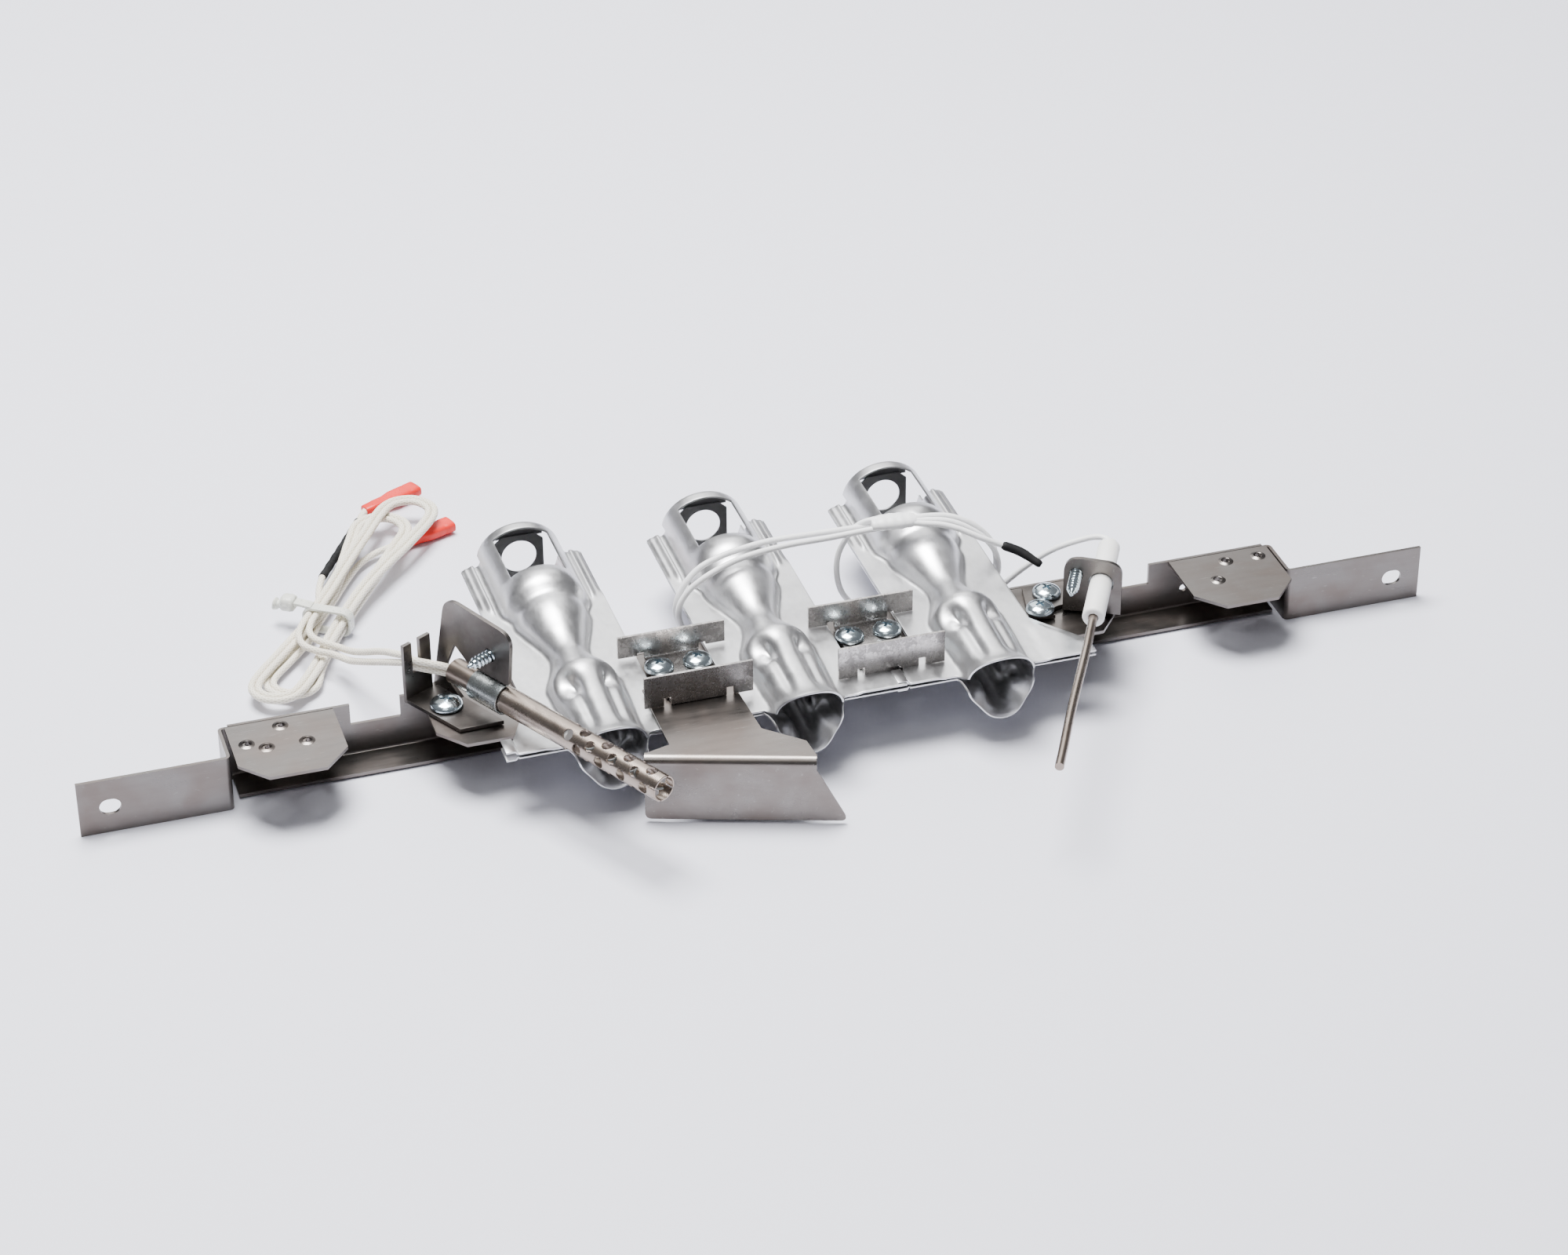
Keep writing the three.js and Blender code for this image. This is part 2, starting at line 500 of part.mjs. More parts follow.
function deflector() {
  const half = DEFLECTOR_SHEET / 2;
  const tongueHalf = BRACKET_BASE / 2 - 1;
  const tongue = slabX(foldedStrip([[-8.5, CLEARANCE + half], [JOGGLE_BACK, CLEARANCE + half],
    [JOGGLE_FRONT, RISE_OVER_TABS + half], [-32, RISE_OVER_TABS + half]], DEFLECTOR_SHEET),
  -tongueHalf, tongueHalf);
  const angle = THREE.MathUtils.degToRad(DEFLECTOR_ANGLE);
  const along = V2(Math.cos(angle), Math.sin(angle));
  const end = DEFLECTOR_BEND_LEFT.clone().addScaledVector(along, DEFLECTOR_BEND_LENGTH);
  const inset = V2(-along.y, along.x).multiplyScalar(DEFLECTOR_BEND_RADIUS + half);
  const from = DEFLECTOR_BEND_LEFT.clone().add(inset);
  const to = end.clone().add(inset);
  const top = slab([[-17, -28], [-17.3, -63], [from.x, from.y], [to.x, to.y], [27.8, -75], [15.4, -63.2],
    [13.8, -28]], RISE_OVER_TABS, DEFLECTOR_TOP);
  // front plate: bend and drop, built along X and then turned
  const bend = slabX(foldedStrip([[DEFLECTOR_BEND_RADIUS + 1, DEFLECTOR_TOP - half],
    [half, DEFLECTOR_TOP - half], [half, -1]], DEFLECTOR_SHEET, DEFLECTOR_BEND_RADIUS), 0, DEFLECTOR_BEND_LENGTH);
  const drop = new THREE.Shape();
  const bottom = 0.6 - RAIL_DEPTH;
  const rounding = 2.5;
  drop.moveTo(0, 0);
  drop.lineTo(0, bottom + rounding);
  drop.quadraticCurveTo(0, bottom, rounding, bottom);
  drop.lineTo(DEFLECTOR_PLATE_LENGTH - rounding, bottom);
  drop.quadraticCurveTo(DEFLECTOR_PLATE_LENGTH, bottom, DEFLECTOR_PLATE_LENGTH - 1, bottom + rounding);
  drop.lineTo(DEFLECTOR_BEND_LENGTH, 0);
  const front = slabY(drop, 0, DEFLECTOR_SHEET);
  const turned = bend.add(front).rotate([0, 0, DEFLECTOR_ANGLE])
    .translate([DEFLECTOR_BEND_LEFT.x, DEFLECTOR_BEND_LEFT.y, 0]);
  const holes = [-1, 1].map((s) => bar(V3((s * SCREW_SPACING) / 2, SCREW_ROW, -2),
    V3((s * SCREW_SPACING) / 2, SCREW_ROW, 4), SCREW_SHANK / 2 + CLEARANCE, 12));
  return cut(join(tongue, top, turned), ...holes);
}

// ---------------------------------------------------------------- screws
/** A cross-recessed truss-head screw, head up, its seat at z = 0. */
function screw(length, headDiameter = SCREW_HEAD, headHeight = SCREW_HEAD_HEIGHT) {
  const r = headDiameter / 2;
  const profile = [[0, -length], [SCREW_SHANK / 2 - 1.4, -length + 0.4], [SCREW_SHANK / 2, -length + 3.2],
    [SCREW_SHANK / 2, 0], [r, 0], [r, 0.5], [r * 0.86, headHeight * 0.55], [r * 0.55, headHeight * 0.86],
    [r * 0.25, headHeight], [0, headHeight]];
  const body = new THREE.LatheGeometry(profile.map(([x, y]) => V2(x, y)), 14);
  body.rotateX(Math.PI / 2);
  const arm = headDiameter * 0.21;
  const recess = [block(-arm, -0.5, headHeight - 1.6, arm, 0.5, headHeight + 1),
    block(-0.5, -arm, headHeight - 1.6, 0.5, arm, headHeight + 1)];
  return cut(solid(body), ...recess);
}

// ---------------------------------------------------------------- igniter pieces, in their own frame
const IGNITER_AXIS_U = 14;
const TUBE_REAR_W = 11;
const WALL_U = 13.6;
const FORK_TOP = 23.6;
const FORK_FLOOR = 11.2;
const FORK_GAP = 3.6;

function igniterBracket() {
  const low = CLEARANCE;
  const top = low + IGNITER_SHEET;
  const right = WALL_U + IGNITER_SHEET;
  const armBottom = IGNITER_AXIS_Z + IGNITER_TUBE / 2 + 1.4;
  const base = slab([[0, 0], [0.6, -27.4], [right - 0.6, -34.4], [right, -14], [right, 1], [0, 1]], low, top);
  const prong = (u0, u1) => block(u0, -IGNITER_SHEET / 2, low, u1, IGNITER_SHEET / 2, FORK_TOP);
  const slotLeft = 3.5;
  const forkPlate = block(-0.2, -IGNITER_SHEET / 2, low, 12, IGNITER_SHEET / 2, FORK_FLOOR);
  const fork = join(forkPlate, prong(-0.2, slotLeft), prong(slotLeft + FORK_GAP, 12));
  // tall wall beside the tube: a slanted leg and an arm over the tube (y is -w)
  const wall = new THREE.Shape();
  wall.moveTo(1, low);
  wall.lineTo(-6, 34.5);
  wall.quadraticCurveTo(-7.2, 40.5, -13.5, 40.6);
  wall.lineTo(-35, 39.4);
  wall.quadraticCurveTo(-40.4, 39.2, -40.2, 34);
  wall.lineTo(-38.8, armBottom + 1.6);
  wall.quadraticCurveTo(-38.6, armBottom, -36.6, armBottom);
  wall.lineTo(-18.4, armBottom);
  wall.lineTo(-11.3, armBottom + 5);
  wall.lineTo(-6.3, 12.5);
  wall.lineTo(-6.8, 7);
  wall.lineTo(-9.6, 4.4);
  wall.lineTo(-13.5, top);
  wall.lineTo(-13.5, low);
  const hole = bar(V3(WALL_U - 2, -CLAMP_SCREW_W, CLAMP_SCREW_Z), V3(WALL_U + 4, -CLAMP_SCREW_W, CLAMP_SCREW_Z),
    SCREW_SHANK / 2 + CLEARANCE, 12);
  const screwHole = bar(V3(IGNITER_SCREW.u, -IGNITER_SCREW.w, -1), V3(IGNITER_SCREW.u, -IGNITER_SCREW.w, 4),
    SCREW_SHANK / 2 + CLEARANCE, 12);
  return cut(join(base, fork, slabX(wall, WALL_U, right)), hole, screwHole);
}

const CLAMP_SCREW_W = 29.5;
const CLAMP_SCREW_Z = 26.6;
const CLAMP_SHEET = 0.6;

/** A strap loop round a round piece, with both ends going up behind a wall. */
function strapLoop(radius, axisX, axisZ, earX, earTop, y0, y1, side) {
  const inner = radius + CLEARANCE;
  const outer = inner + CLAMP_SHEET;
  const loop = bar(V3(axisX, y0, axisZ), V3(axisX, y1, axisZ), outer, 24)
    .subtract(bar(V3(axisX, y0 - 1, axisZ), V3(axisX, y1 + 1, axisZ), inner, 24));
  const x = [earX, earX + side * 2 * CLAMP_SHEET].sort((a, b) => a - b);
  const ear = block(x[0], y0, axisZ, x[1], y1, earTop)
    .subtract(bar(V3(axisX, y0 - 1, axisZ), V3(axisX, y1 + 1, axisZ), inner, 24));
  return loop.add(ear);
}

function igniterClamp() {
  const earX = WALL_U + IGNITER_SHEET + CLEARANCE;
  const strap = strapLoop(IGNITER_TUBE / 2, IGNITER_AXIS_U, IGNITER_AXIS_Z, earX, 35, -37, -22.6, 1);
  return strap.subtract(bar(V3(earX - 2, -CLAMP_SCREW_W, CLAMP_SCREW_Z),
    V3(earX + 5, -CLAMP_SCREW_W, CLAMP_SCREW_Z), SCREW_SHANK / 2 + CLEARANCE, 12));
}

function igniterTube() {
  const rear = -TUBE_REAR_W;
  const front = rear - IGNITER_TUBE_LENGTH;
  const axis = (y) => V3(IGNITER_AXIS_U, y, IGNITER_AXIS_Z);
  let tube = bar(axis(front), axis(rear), IGNITER_TUBE / 2, 16)
    .subtract(bar(axis(front - 1), axis(rear + 1), IGNITER_TUBE / 2 - IGNITER_WALL, 16));
  const rows = 8;
  const pitch = 10.6;
  const perRow = 4;
  for (let row = 0; row < rows / 2; row += 1) {
    const angle = (Math.PI * row) / (rows / 2);
    const reach = V3(Math.cos(angle), 0, Math.sin(angle)).multiplyScalar(IGNITER_TUBE);
    for (let i = 0; i < perRow; i += 1) {
      const y = front + 5.5 + pitch * (i + (row % 2 ? 0.5 : 0));
      tube = tube.subtract(bar(axis(y).sub(reach), axis(y).add(reach), PORT_HOLE / 2, 6));
    }
  }
  return tube;
}

const IGNITER_CORE = IGNITER_TUBE - 2 * IGNITER_WALL - 2 * CLEARANCE;
const INSULATOR_LENGTH = 57;
const INSULATOR_INSET = 1.6;

function igniterInsulator() {
  const start = -TUBE_REAR_W - INSULATOR_INSET;
  return bar(V3(IGNITER_AXIS_U, start - INSULATOR_LENGTH, IGNITER_AXIS_Z),
    V3(IGNITER_AXIS_U, start, IGNITER_AXIS_Z), IGNITER_CORE / 2, 16);
}

function igniterElement() {
  const start = -TUBE_REAR_W - INSULATOR_INSET - INSULATOR_LENGTH - CLEARANCE;
  const end = -TUBE_REAR_W - IGNITER_TUBE_LENGTH + 1.2;
  const half = IGNITER_CORE / 2 - 1.1;
  return block(IGNITER_AXIS_U - half, end, IGNITER_AXIS_Z - 1.1, IGNITER_AXIS_U + half, start, IGNITER_AXIS_Z + 1.1);
}

// ---------------------------------------------------------------- flame sensor pieces, in their own frame
const SENSOR_AXIS_U = 13.4;
const SENSOR_CERAMIC_REAR = 25.6;  // behind the wall
const SENSOR_WALL_WIDTH = 20.8;
const SENSOR_WALL_TOP = 23.2;
const SENSOR_WALL_FOOT = 1.2;
const SENSOR_CLAMP_SCREW = { u: SENSOR_AXIS_U - SENSOR_CERAMIC / 2 - 5.05, z: SENSOR_AXIS_Z + 2.8, length: 17 };

function sensorBracket() {
  const low = CLEARANCE;
  const top = low + SENSOR_SHEET;
  const foot = new THREE.Shape();
  foot.moveTo(-16.2, 11.6);
  foot.lineTo(-11.1, -7.3);
  foot.lineTo(-1.8, -5);
  foot.quadraticCurveTo(-5, -1.5, -1.6, 1.6);
  foot.lineTo(0, 2.6);
  foot.lineTo(0, SENSOR_SHEET);
  foot.lineTo(18, SENSOR_SHEET);
  foot.lineTo(18, 8);
  foot.lineTo(6, 15);
  foot.lineTo(-8, 15);
  const base = slab(foot, low, top);
  const wall = new THREE.Shape();
  const round = 6;
  wall.moveTo(0, SENSOR_WALL_FOOT);
  wall.lineTo(0, SENSOR_WALL_TOP - round);
  wall.quadraticCurveTo(0, SENSOR_WALL_TOP, round, SENSOR_WALL_TOP);
  wall.lineTo(SENSOR_WALL_WIDTH - round + 1, SENSOR_WALL_TOP - 0.6);
  wall.quadraticCurveTo(SENSOR_WALL_WIDTH, SENSOR_WALL_TOP - 1.4, SENSOR_WALL_WIDTH, SENSOR_WALL_TOP - round + 0.5);
  wall.lineTo(SENSOR_WALL_WIDTH, SENSOR_WALL_FOOT);
  const plate = slabY(wall, 0, SENSOR_SHEET);
  const joint = slabX(foldedStrip([[SENSOR_SHEET / 2, 6], [SENSOR_SHEET / 2, low + SENSOR_SHEET / 2],
    [6, low + SENSOR_SHEET / 2]], SENSOR_SHEET), 2, 17);
  const hole = bar(V3(SENSOR_AXIS_U, -3, SENSOR_AXIS_Z), V3(SENSOR_AXIS_U, 5, SENSOR_AXIS_Z),
    SENSOR_CERAMIC / 2 + 0.6, 20);
  const clampHole = bar(V3(SENSOR_CLAMP_SCREW.u, -3, SENSOR_CLAMP_SCREW.z),
    V3(SENSOR_CLAMP_SCREW.u, 5, SENSOR_CLAMP_SCREW.z), SCREW_SHANK / 2 + CLEARANCE, 12);
  const screwHoles = SENSOR_SCREWS.map(({ u, w }) => bar(V3(u, -w, -1), V3(u, -w, 3), SCREW_SHANK / 2 + CLEARANCE, 12));
  return cut(join(base, plate, joint), hole, clampHole, ...screwHoles);
}

/** Flat ring plate behind the wall that grips the ceramic, with a lug for its screw. */
function sensorClamp() {
  const y0 = SENSOR_SHEET + CLEARANCE;
  const grip = 5;
  const ring = bar(V3(SENSOR_AXIS_U, y0, SENSOR_AXIS_Z), V3(SENSOR_AXIS_U, y0 + grip, SENSOR_AXIS_Z),
    SENSOR_CERAMIC / 2 + CLEARANCE + 0.8, 20);
  const lug = block(SENSOR_CLAMP_SCREW.u - 4, y0, SENSOR_AXIS_Z - 1, SENSOR_AXIS_U, y0 + 1.2, SENSOR_AXIS_Z + 6);
  const bore = bar(V3(SENSOR_AXIS_U, y0 - 1, SENSOR_AXIS_Z), V3(SENSOR_AXIS_U, y0 + grip + 1, SENSOR_AXIS_Z),
    SENSOR_CERAMIC / 2 + CLEARANCE, 20);
  const hole = bar(V3(SENSOR_CLAMP_SCREW.u, y0 - 1, SENSOR_CLAMP_SCREW.z),
    V3(SENSOR_CLAMP_SCREW.u, y0 + 5, SENSOR_CLAMP_SCREW.z), SCREW_SHANK / 2 + CLEARANCE, 12);
  return cut(ring.add(lug), bore, hole);
}

function sensorInsulator() {
  const r = SENSOR_CERAMIC / 2;
  const bore = SENSOR_ROD / 2 + CLEARANCE;
  const length = SENSOR_CERAMIC_LENGTH;
  const chamfer = 0.8;
  const socket = 8;
  const profile = [[bore, 0], [r - chamfer, 0], [r, chamfer], [r, length - chamfer], [r - chamfer, length],
    [0, length], [0, length - socket], [bore, length - socket], [bore, 0]];
  const geometry = new THREE.LatheGeometry(profile.map(([x, y]) => V2(x, y)), 20);
  geometry.translate(SENSOR_AXIS_U, SENSOR_CERAMIC_REAR - length, 0);
  geometry.translate(0, 0, SENSOR_AXIS_Z);
  return solid(geometry);
}

function sensorRod() {
  const front = SENSOR_CERAMIC_REAR - SENSOR_CERAMIC_LENGTH;
  const r = SENSOR_ROD / 2;
  const length = SENSOR_ROD_REACH + 30;
  const profile = [[0, 0], [r * 0.6, 0], [r, 0.9], [r, length], [0, length]];
  const geometry = new THREE.LatheGeometry(profile.map(([x, y]) => V2(x, y)), 12);
  geometry.translate(SENSOR_AXIS_U, front - SENSOR_ROD_REACH, SENSOR_AXIS_Z);
  return solid(geometry);
}

// ---------------------------------------------------------------- leads
// Routes are chosen by hand: from the tube's rear, through the fork, down to the hank on the bench.
const IGNITER_ROUTES = [
  [[-113.3, -9.3, 13.1], [-116.1, -6.6, 13.4], [-121.0, -4.6, 14.4], [-125.9, -2.5, 15.4], [-128.4, 1.6, 15.2],
    [-130.4, 7.4, 12.8], [-132.2, 16.0, 8.6], [-134.4, 24.4, 4.0], [-136.6, 32.4, -0.8], [-138.6, 40.6, -5.4],
    [-140.2, 48.4, -9.2], [-141.2, 54.0, -11.8], [-141.8, 58.3, -13.6]],
  [[-113.3, -9.3, 10.5], [-116.1, -6.6, 10.8], [-121.0, -4.6, 11.8], [-125.9, -2.5, 12.8], [-128.8, 1.4, 12.4],
    [-131.0, 7.0, 9.6], [-133.2, 15.9, 4.6], [-135.8, 25.4, -0.8], [-138.4, 35.1, -6.2], [-140.8, 43.8, -10.8],
    [-142.6, 50.6, -14.2], [-143.7, 55.2, -15.9]],
];
const TAIL_ROUTE = [[-136.2, 112.0, -17.4], [-131.8, 119.4, -17.6], [-127.4, 126.8, -17.8], [-122.8, 134.6, -18.0],
  [-118.6, 141.8, -18.2], [-114.6, 148.6, -18.4], [-110.9, 154.8, -18.6]];
const SENSOR_ROUTE = [
  // from the ceramic, down between burner and bracket, and under the burners
  [130.2, -3.5, 13.6], [131.2, -1.2, 13.7], [130.4, 1.6, 13.9], [127.6, 3.3, 13.9], [120.0, 4.6, 12.6],
  [112.4, 7.4, 8.8], [104.6, 10.8, 2.0], [98.4, 13.4, -4.6], [92.0, 15.0, -11.2], [84.0, 16.2, -16.2],
  [70.0, 17.4, -18.6], [46.0, 18.4, -18.6], [22.0, 19.0, -18.6], [0.0, 19.4, -18.4], [-13.0, 19.8, -16.0],
  // first turn: round the middle burner's left side, over both burners, down on the right
  [-20.8, 20.2, -10.0], [-24.4, 20.4, -3.0], [-24.5, 20.6, 3.0], [-20.8, 20.9, 9.0], [-14.0, 21.0, 13.8],
  [-2.1, 22.2, 17.8], [15.5, 25.0, 18.4], [33.0, 25.4, 18.4], [52.0, 25.4, 19.0], [67.0, 24.9, 19.6],
  [78.0, 22.4, 18.8], [86.6, 19.6, 14.6], [92.8, 18.0, 8.4], [95.4, 17.4, 1.6], [95.2, 17.4, -4.4],
  [91.2, 18.4, -11.6], [83.0, 20.0, -17.6], [70.0, 21.4, -20.6], [46.0, 23.2, -20.6], [20.0, 24.2, -20.0],
  [0.0, 24.5, -18.6], [-13.0, 24.4, -16.0],
  // second turn, beside the first
  [-21.0, 24.0, -10.0], [-24.6, 23.8, -3.2], [-24.7, 23.6, 3.0], [-21.4, 24.4, 9.6], [-15.6, 26.2, 14.2],
  [-7.1, 26.8, 17.4], [2.5, 28.3, 18.4], [12.0, 29.6, 18.6], [28.0, 29.4, 18.6], [42.0, 28.6, 18.8],
  [54.0, 28.0, 19.2], [67.0, 27.5, 19.6], [79.0, 25.4, 19.0], [87.8, 23.0, 15.0], [93.6, 21.6, 8.6],
  [95.8, 21.0, 1.8], [95.6, 21.2, -4.4], [91.4, 22.6, -11.4], [82.0, 24.0, -16.6], [68.0, 24.8, -17.8],
  [54.0, 25.2, -17.2],
  // half a turn round the right burner alone, over both others, to the free end
  [44.4, 25.4, -13.2], [38.6, 25.8, -6.4], [36.8, 26.8, 1.0], [37.8, 28.6, 8.4], [41.6, 29.6, 14.8],
  [46.4, 29.0, 19.8], [52.0, 26.8, 21.8], [59.0, 24.0, 21.2], [67.0, 22.2, 20.0], [74.0, 20.2, 19.4],
  [80.0, 17.6, 18.0], [86.6, 14.3, 15.2], [91.4, 12.9, 13.0], [95.2, 11.9, 11.4],
];

// The hank's axis on the bench, and its half-widths at the lower loop, the tie and the upper loop.
const HANK = { from: V2(-165.5, 43.5), to: V2(-101.2, 140.3), low: 10.8, waist: 7.8, high: 12, z0: -20.4, z1: -12.8 };

function hankOutline() {
  const length = HANK.from.distanceTo(HANK.to);
  const shape = new THREE.Shape();
  shape.absarc(0, 0, HANK.low, Math.PI, 2 * Math.PI);
  shape.bezierCurveTo(HANK.low, length * 0.2, HANK.waist, length * 0.2, HANK.waist, length * 0.4);
  shape.bezierCurveTo(HANK.waist, length * 0.6, HANK.high, length * 0.75, HANK.high, length);
  shape.absarc(0, length, HANK.high, 0, Math.PI);
  shape.bezierCurveTo(-HANK.high, length * 0.75, -HANK.waist, length * 0.6, -HANK.waist, length * 0.4);
  shape.bezierCurveTo(-HANK.waist, length * 0.2, -HANK.low, length * 0.2, -HANK.low, 0);
  return shape;
}

const TERMINAL = { length: 25, width: 7.4, height: 4.4, barrel: 10.5, barrelWidth: 5.2 };
const TERMINALS = [{ x: -110.6, y: 155.6, z: -18.8, degrees: 26 }, { x: -104.7, y: 128.6, z: -19.2, degrees: 20.8 }];

/** An insulated push-on terminal, its wire end at the origin and its mouth along +X. */
function terminal(grow = 0) {
  const { length, width, height, barrel, barrelWidth } = TERMINAL;
  const g = grow;
  const outline = [[-g, -barrelWidth / 2 - g], [barrel, -barrelWidth / 2 - g], [barrel + 3, -width / 2 - g],
    [length + g, -width / 2 - g], [length + g, width / 2 + g], [barrel + 3, width / 2 + g],
    [barrel, barrelWidth / 2 + g], [-g, barrelWidth / 2 + g]];
  return slab(outline, -height / 2 - g, height / 2 + g);
}

function hank() {
  const along = HANK.to.clone().sub(HANK.from);
  const turn = THREE.MathUtils.radToDeg(Math.atan2(along.y, along.x)) - 90;
  let body = slab(hankOutline(), HANK.z0, HANK.z1).rotate([0, 0, turn]).translate([HANK.from.x, HANK.from.y, 0]);
  for (const t of TERMINALS) {
    body = body.subtract(terminal(CLEARANCE).rotate([0, 0, t.degrees]).translate([t.x, t.y, t.z]));
  }
  return body;
}

const HANK_TIE = { at: 0.39, width: 4.2, band: 1.1 };

/** Nylon tie round the hank's waist, with its head on the far side. */
function hankTie() {
  const { width, band } = HANK_TIE;
  const inner = HANK.waist + CLEARANCE;
  const z0 = HANK.z0 - CLEARANCE;
  const z1 = HANK.z1 + CLEARANCE;
  const frame = block(-inner - band, -width / 2, z0 - band, inner + band, width / 2, z1 + band)
    .subtract(block(-inner, -width, z0, inner, width, z1));
  const neck = block(-inner - band - 4, -width / 2, z1 - 1.2, -inner - band + 0.2, width / 2, z1 + band);
  const head = block(-inner - band - 8.6, -3.4, z1 - 3, -inner - band - 3.6, 3.4, z1 + 3.2);
  const tail = block(-inner - band - 13.4, -1.8, z1 - 2.6, -inner - band - 8.4, 1.8, z1 - 1);
  return join(frame, neck, head, tail);
}

// ---------------------------------------------------------------- assembly
piece('support_rail', supportRail(), RAIL_STEEL);

const upperShell = burnerShell(1);
const lowerShell = burnerShell(-1);
burnerX.forEach((x, i) => {
  piece(`burner_${i + 1}_upper_shell`, upperShell, ALUMINISED).position.set(x, 0, PARTING_Z);
  piece(`burner_${i + 1}_lower_shell`, lowerShell, ALUMINISED).position.set(x, 0, PARTING_Z);
});

// the first joint carries the deflector's tongue under its bracket
const stack = [DEFLECTOR_SHEET + CLEARANCE, ...jointX.slice(1).map(() => 0)];
const jointScrew = screw(SCREW_LENGTH);
piece('deflector', deflector(), STAINLESS).position.set(jointX[0], 0, 0);
jointX.forEach((x, i) => {
  const frontRise = stack[i] ? RISE_OVER_TABS - RISE_OVER_WINGS : 0;
  piece(`joint_bracket_${i + 1}`, jointBracket(frontRise), GALVANISED).position.set(x, 0, stack[i]);
  [-1, 1].forEach((s, k) => {
    piece(`joint_screw_${2 * i + k + 1}`, jointScrew, ZINC)
      .position.set(x + (s * SCREW_SPACING) / 2, SCREW_ROW, stack[i] + 2 * CLEARANCE + BRACKET_SHEET);
  });
});

const igniter = station(IGNITER_PLACE.x, IGNITER_PLACE.y, 0, IGNITER_ANGLE);
piece('igniter_bracket', igniterBracket(), BRACKET_STEEL, igniter);
piece('igniter_bracket_screw', screw(SCREW_LENGTH, 11.6), ZINC, igniter)
  .position.set(IGNITER_SCREW.u, -IGNITER_SCREW.w, 2 * CLEARANCE + IGNITER_SHEET);
piece('igniter_clamp', igniterClamp(), GALVANISED, igniter);
const clampScrew = piece('igniter_clamp_screw', screw(13, 9.5, 2.6), ZINC, igniter);
clampScrew.rotation.y = Math.PI / 2;
clampScrew.position.set(WALL_U + IGNITER_SHEET + 2 * CLAMP_SHEET + 2 * CLEARANCE, -CLAMP_SCREW_W, CLAMP_SCREW_Z);
piece('igniter_tube', igniterTube(), STAINLESS, igniter);
piece('igniter_insulator', igniterInsulator(), CERAMIC, igniter);
piece('igniter_element', igniterElement(), ELEMENT_GREY, igniter);

const sensor = station(SENSOR_PLACE.x, SENSOR_PLACE.y, 0, SENSOR_ANGLE);
piece('sensor_bracket', sensorBracket(), BRACKET_STEEL, sensor);
SENSOR_SCREWS.forEach(({ u, w }, i) => {
  piece(`sensor_bracket_screw_${i + 1}`, screw(SCREW_LENGTH, 10.4), ZINC, sensor)
    .position.set(u, -w, 2 * CLEARANCE + SENSOR_SHEET);
});
piece('sensor_clamp', sensorClamp(), GALVANISED, sensor);
const sensorClampScrew = piece('sensor_clamp_screw', screw(SENSOR_CLAMP_SCREW.length, 8.4, 2.6), ZINC, sensor);
sensorClampScrew.rotation.x = -Math.PI / 2;
sensorClampScrew.position.set(SENSOR_CLAMP_SCREW.u, SENSOR_SHEET + 1.2 + 2 * CLEARANCE, SENSOR_CLAMP_SCREW.z);
piece('sensor_insulator', sensorInsulator(), CERAMIC, sensor);
piece('sensor_rod', sensorRod(), STAINLESS, sensor);

IGNITER_ROUTES.forEach((route, i) => {
  piece(`igniter_lead_${i + 1}`, cordAlong(route, IGNITER_LEAD, 24), BRAID);
});
piece('igniter_lead_tail', cordAlong(TAIL_ROUTE, IGNITER_LEAD, 10), BRAID);
piece('lead_hank', hank(), BRAID);
const alongHank = HANK.to.clone().sub(HANK.from);
const tieAt = HANK.from.clone().addScaledVector(alongHank, HANK_TIE.at);
const tie = piece('hank_tie', hankTie(), NYLON);
tie.position.set(tieAt.x, tieAt.y, 0);
tie.rotation.z = Math.atan2(alongHank.y, alongHank.x) - Math.PI / 2;
TERMINALS.forEach((t, i) => {
  const end = piece(`lead_terminal_${i + 1}`, terminal(), RED_VINYL);
  end.position.set(t.x, t.y, t.z);
  end.rotation.z = THREE.MathUtils.degToRad(t.degrees);
});
piece('sensor_lead', cordAlong(SENSOR_ROUTE, SENSOR_LEAD, 80), SILICONE);
piece('lead_sleeve', cordAlong([[95.5, 11.8, 11.3], [100.6, 8.6, 9.6], [106.6, 2.9, 6.2]], 3.6, 4), BLACK_SLEEVE);

// ---------------------------------------------------------------- origin: under the middle of the object
// The loose leads and what is on them don't count for the middle.
const LOOSE = /^(igniter_lead|lead_|hank_tie|sensor_lead)/;
assembly.updateMatrixWorld(true);
const box = new THREE.Box3();
assembly.traverse((child) => {
  if (child.isMesh && !LOOSE.test(child.name)) box.expandByObject(child, true);
});
const middle = box.getCenter(V3(0, 0, 0));
assembly.position.set(-middle.x, -middle.y, -box.min.z);

export default assembly;
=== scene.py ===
"""Looks of a three-burner gas burner assembly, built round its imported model."""

import logging
import math
from dataclasses import dataclass
from enum import Enum
from typing import Callable, Optional, Sequence, Union

import bmesh
import bpy
from mathutils import Matrix, Vector


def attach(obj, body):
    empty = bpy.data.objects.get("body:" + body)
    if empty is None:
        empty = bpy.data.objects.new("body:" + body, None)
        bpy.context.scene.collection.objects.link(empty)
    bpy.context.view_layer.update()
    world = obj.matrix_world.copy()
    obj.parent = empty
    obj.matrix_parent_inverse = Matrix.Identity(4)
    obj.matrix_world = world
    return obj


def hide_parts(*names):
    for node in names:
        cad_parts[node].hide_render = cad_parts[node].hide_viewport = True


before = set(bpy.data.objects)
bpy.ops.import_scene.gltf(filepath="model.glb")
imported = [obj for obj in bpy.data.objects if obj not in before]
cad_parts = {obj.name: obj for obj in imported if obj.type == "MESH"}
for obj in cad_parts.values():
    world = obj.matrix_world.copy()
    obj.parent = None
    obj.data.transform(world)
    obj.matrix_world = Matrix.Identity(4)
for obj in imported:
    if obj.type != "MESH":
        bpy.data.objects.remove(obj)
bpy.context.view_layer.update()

LOG = logging.getLogger("burner_assembly")
MM = 0.001
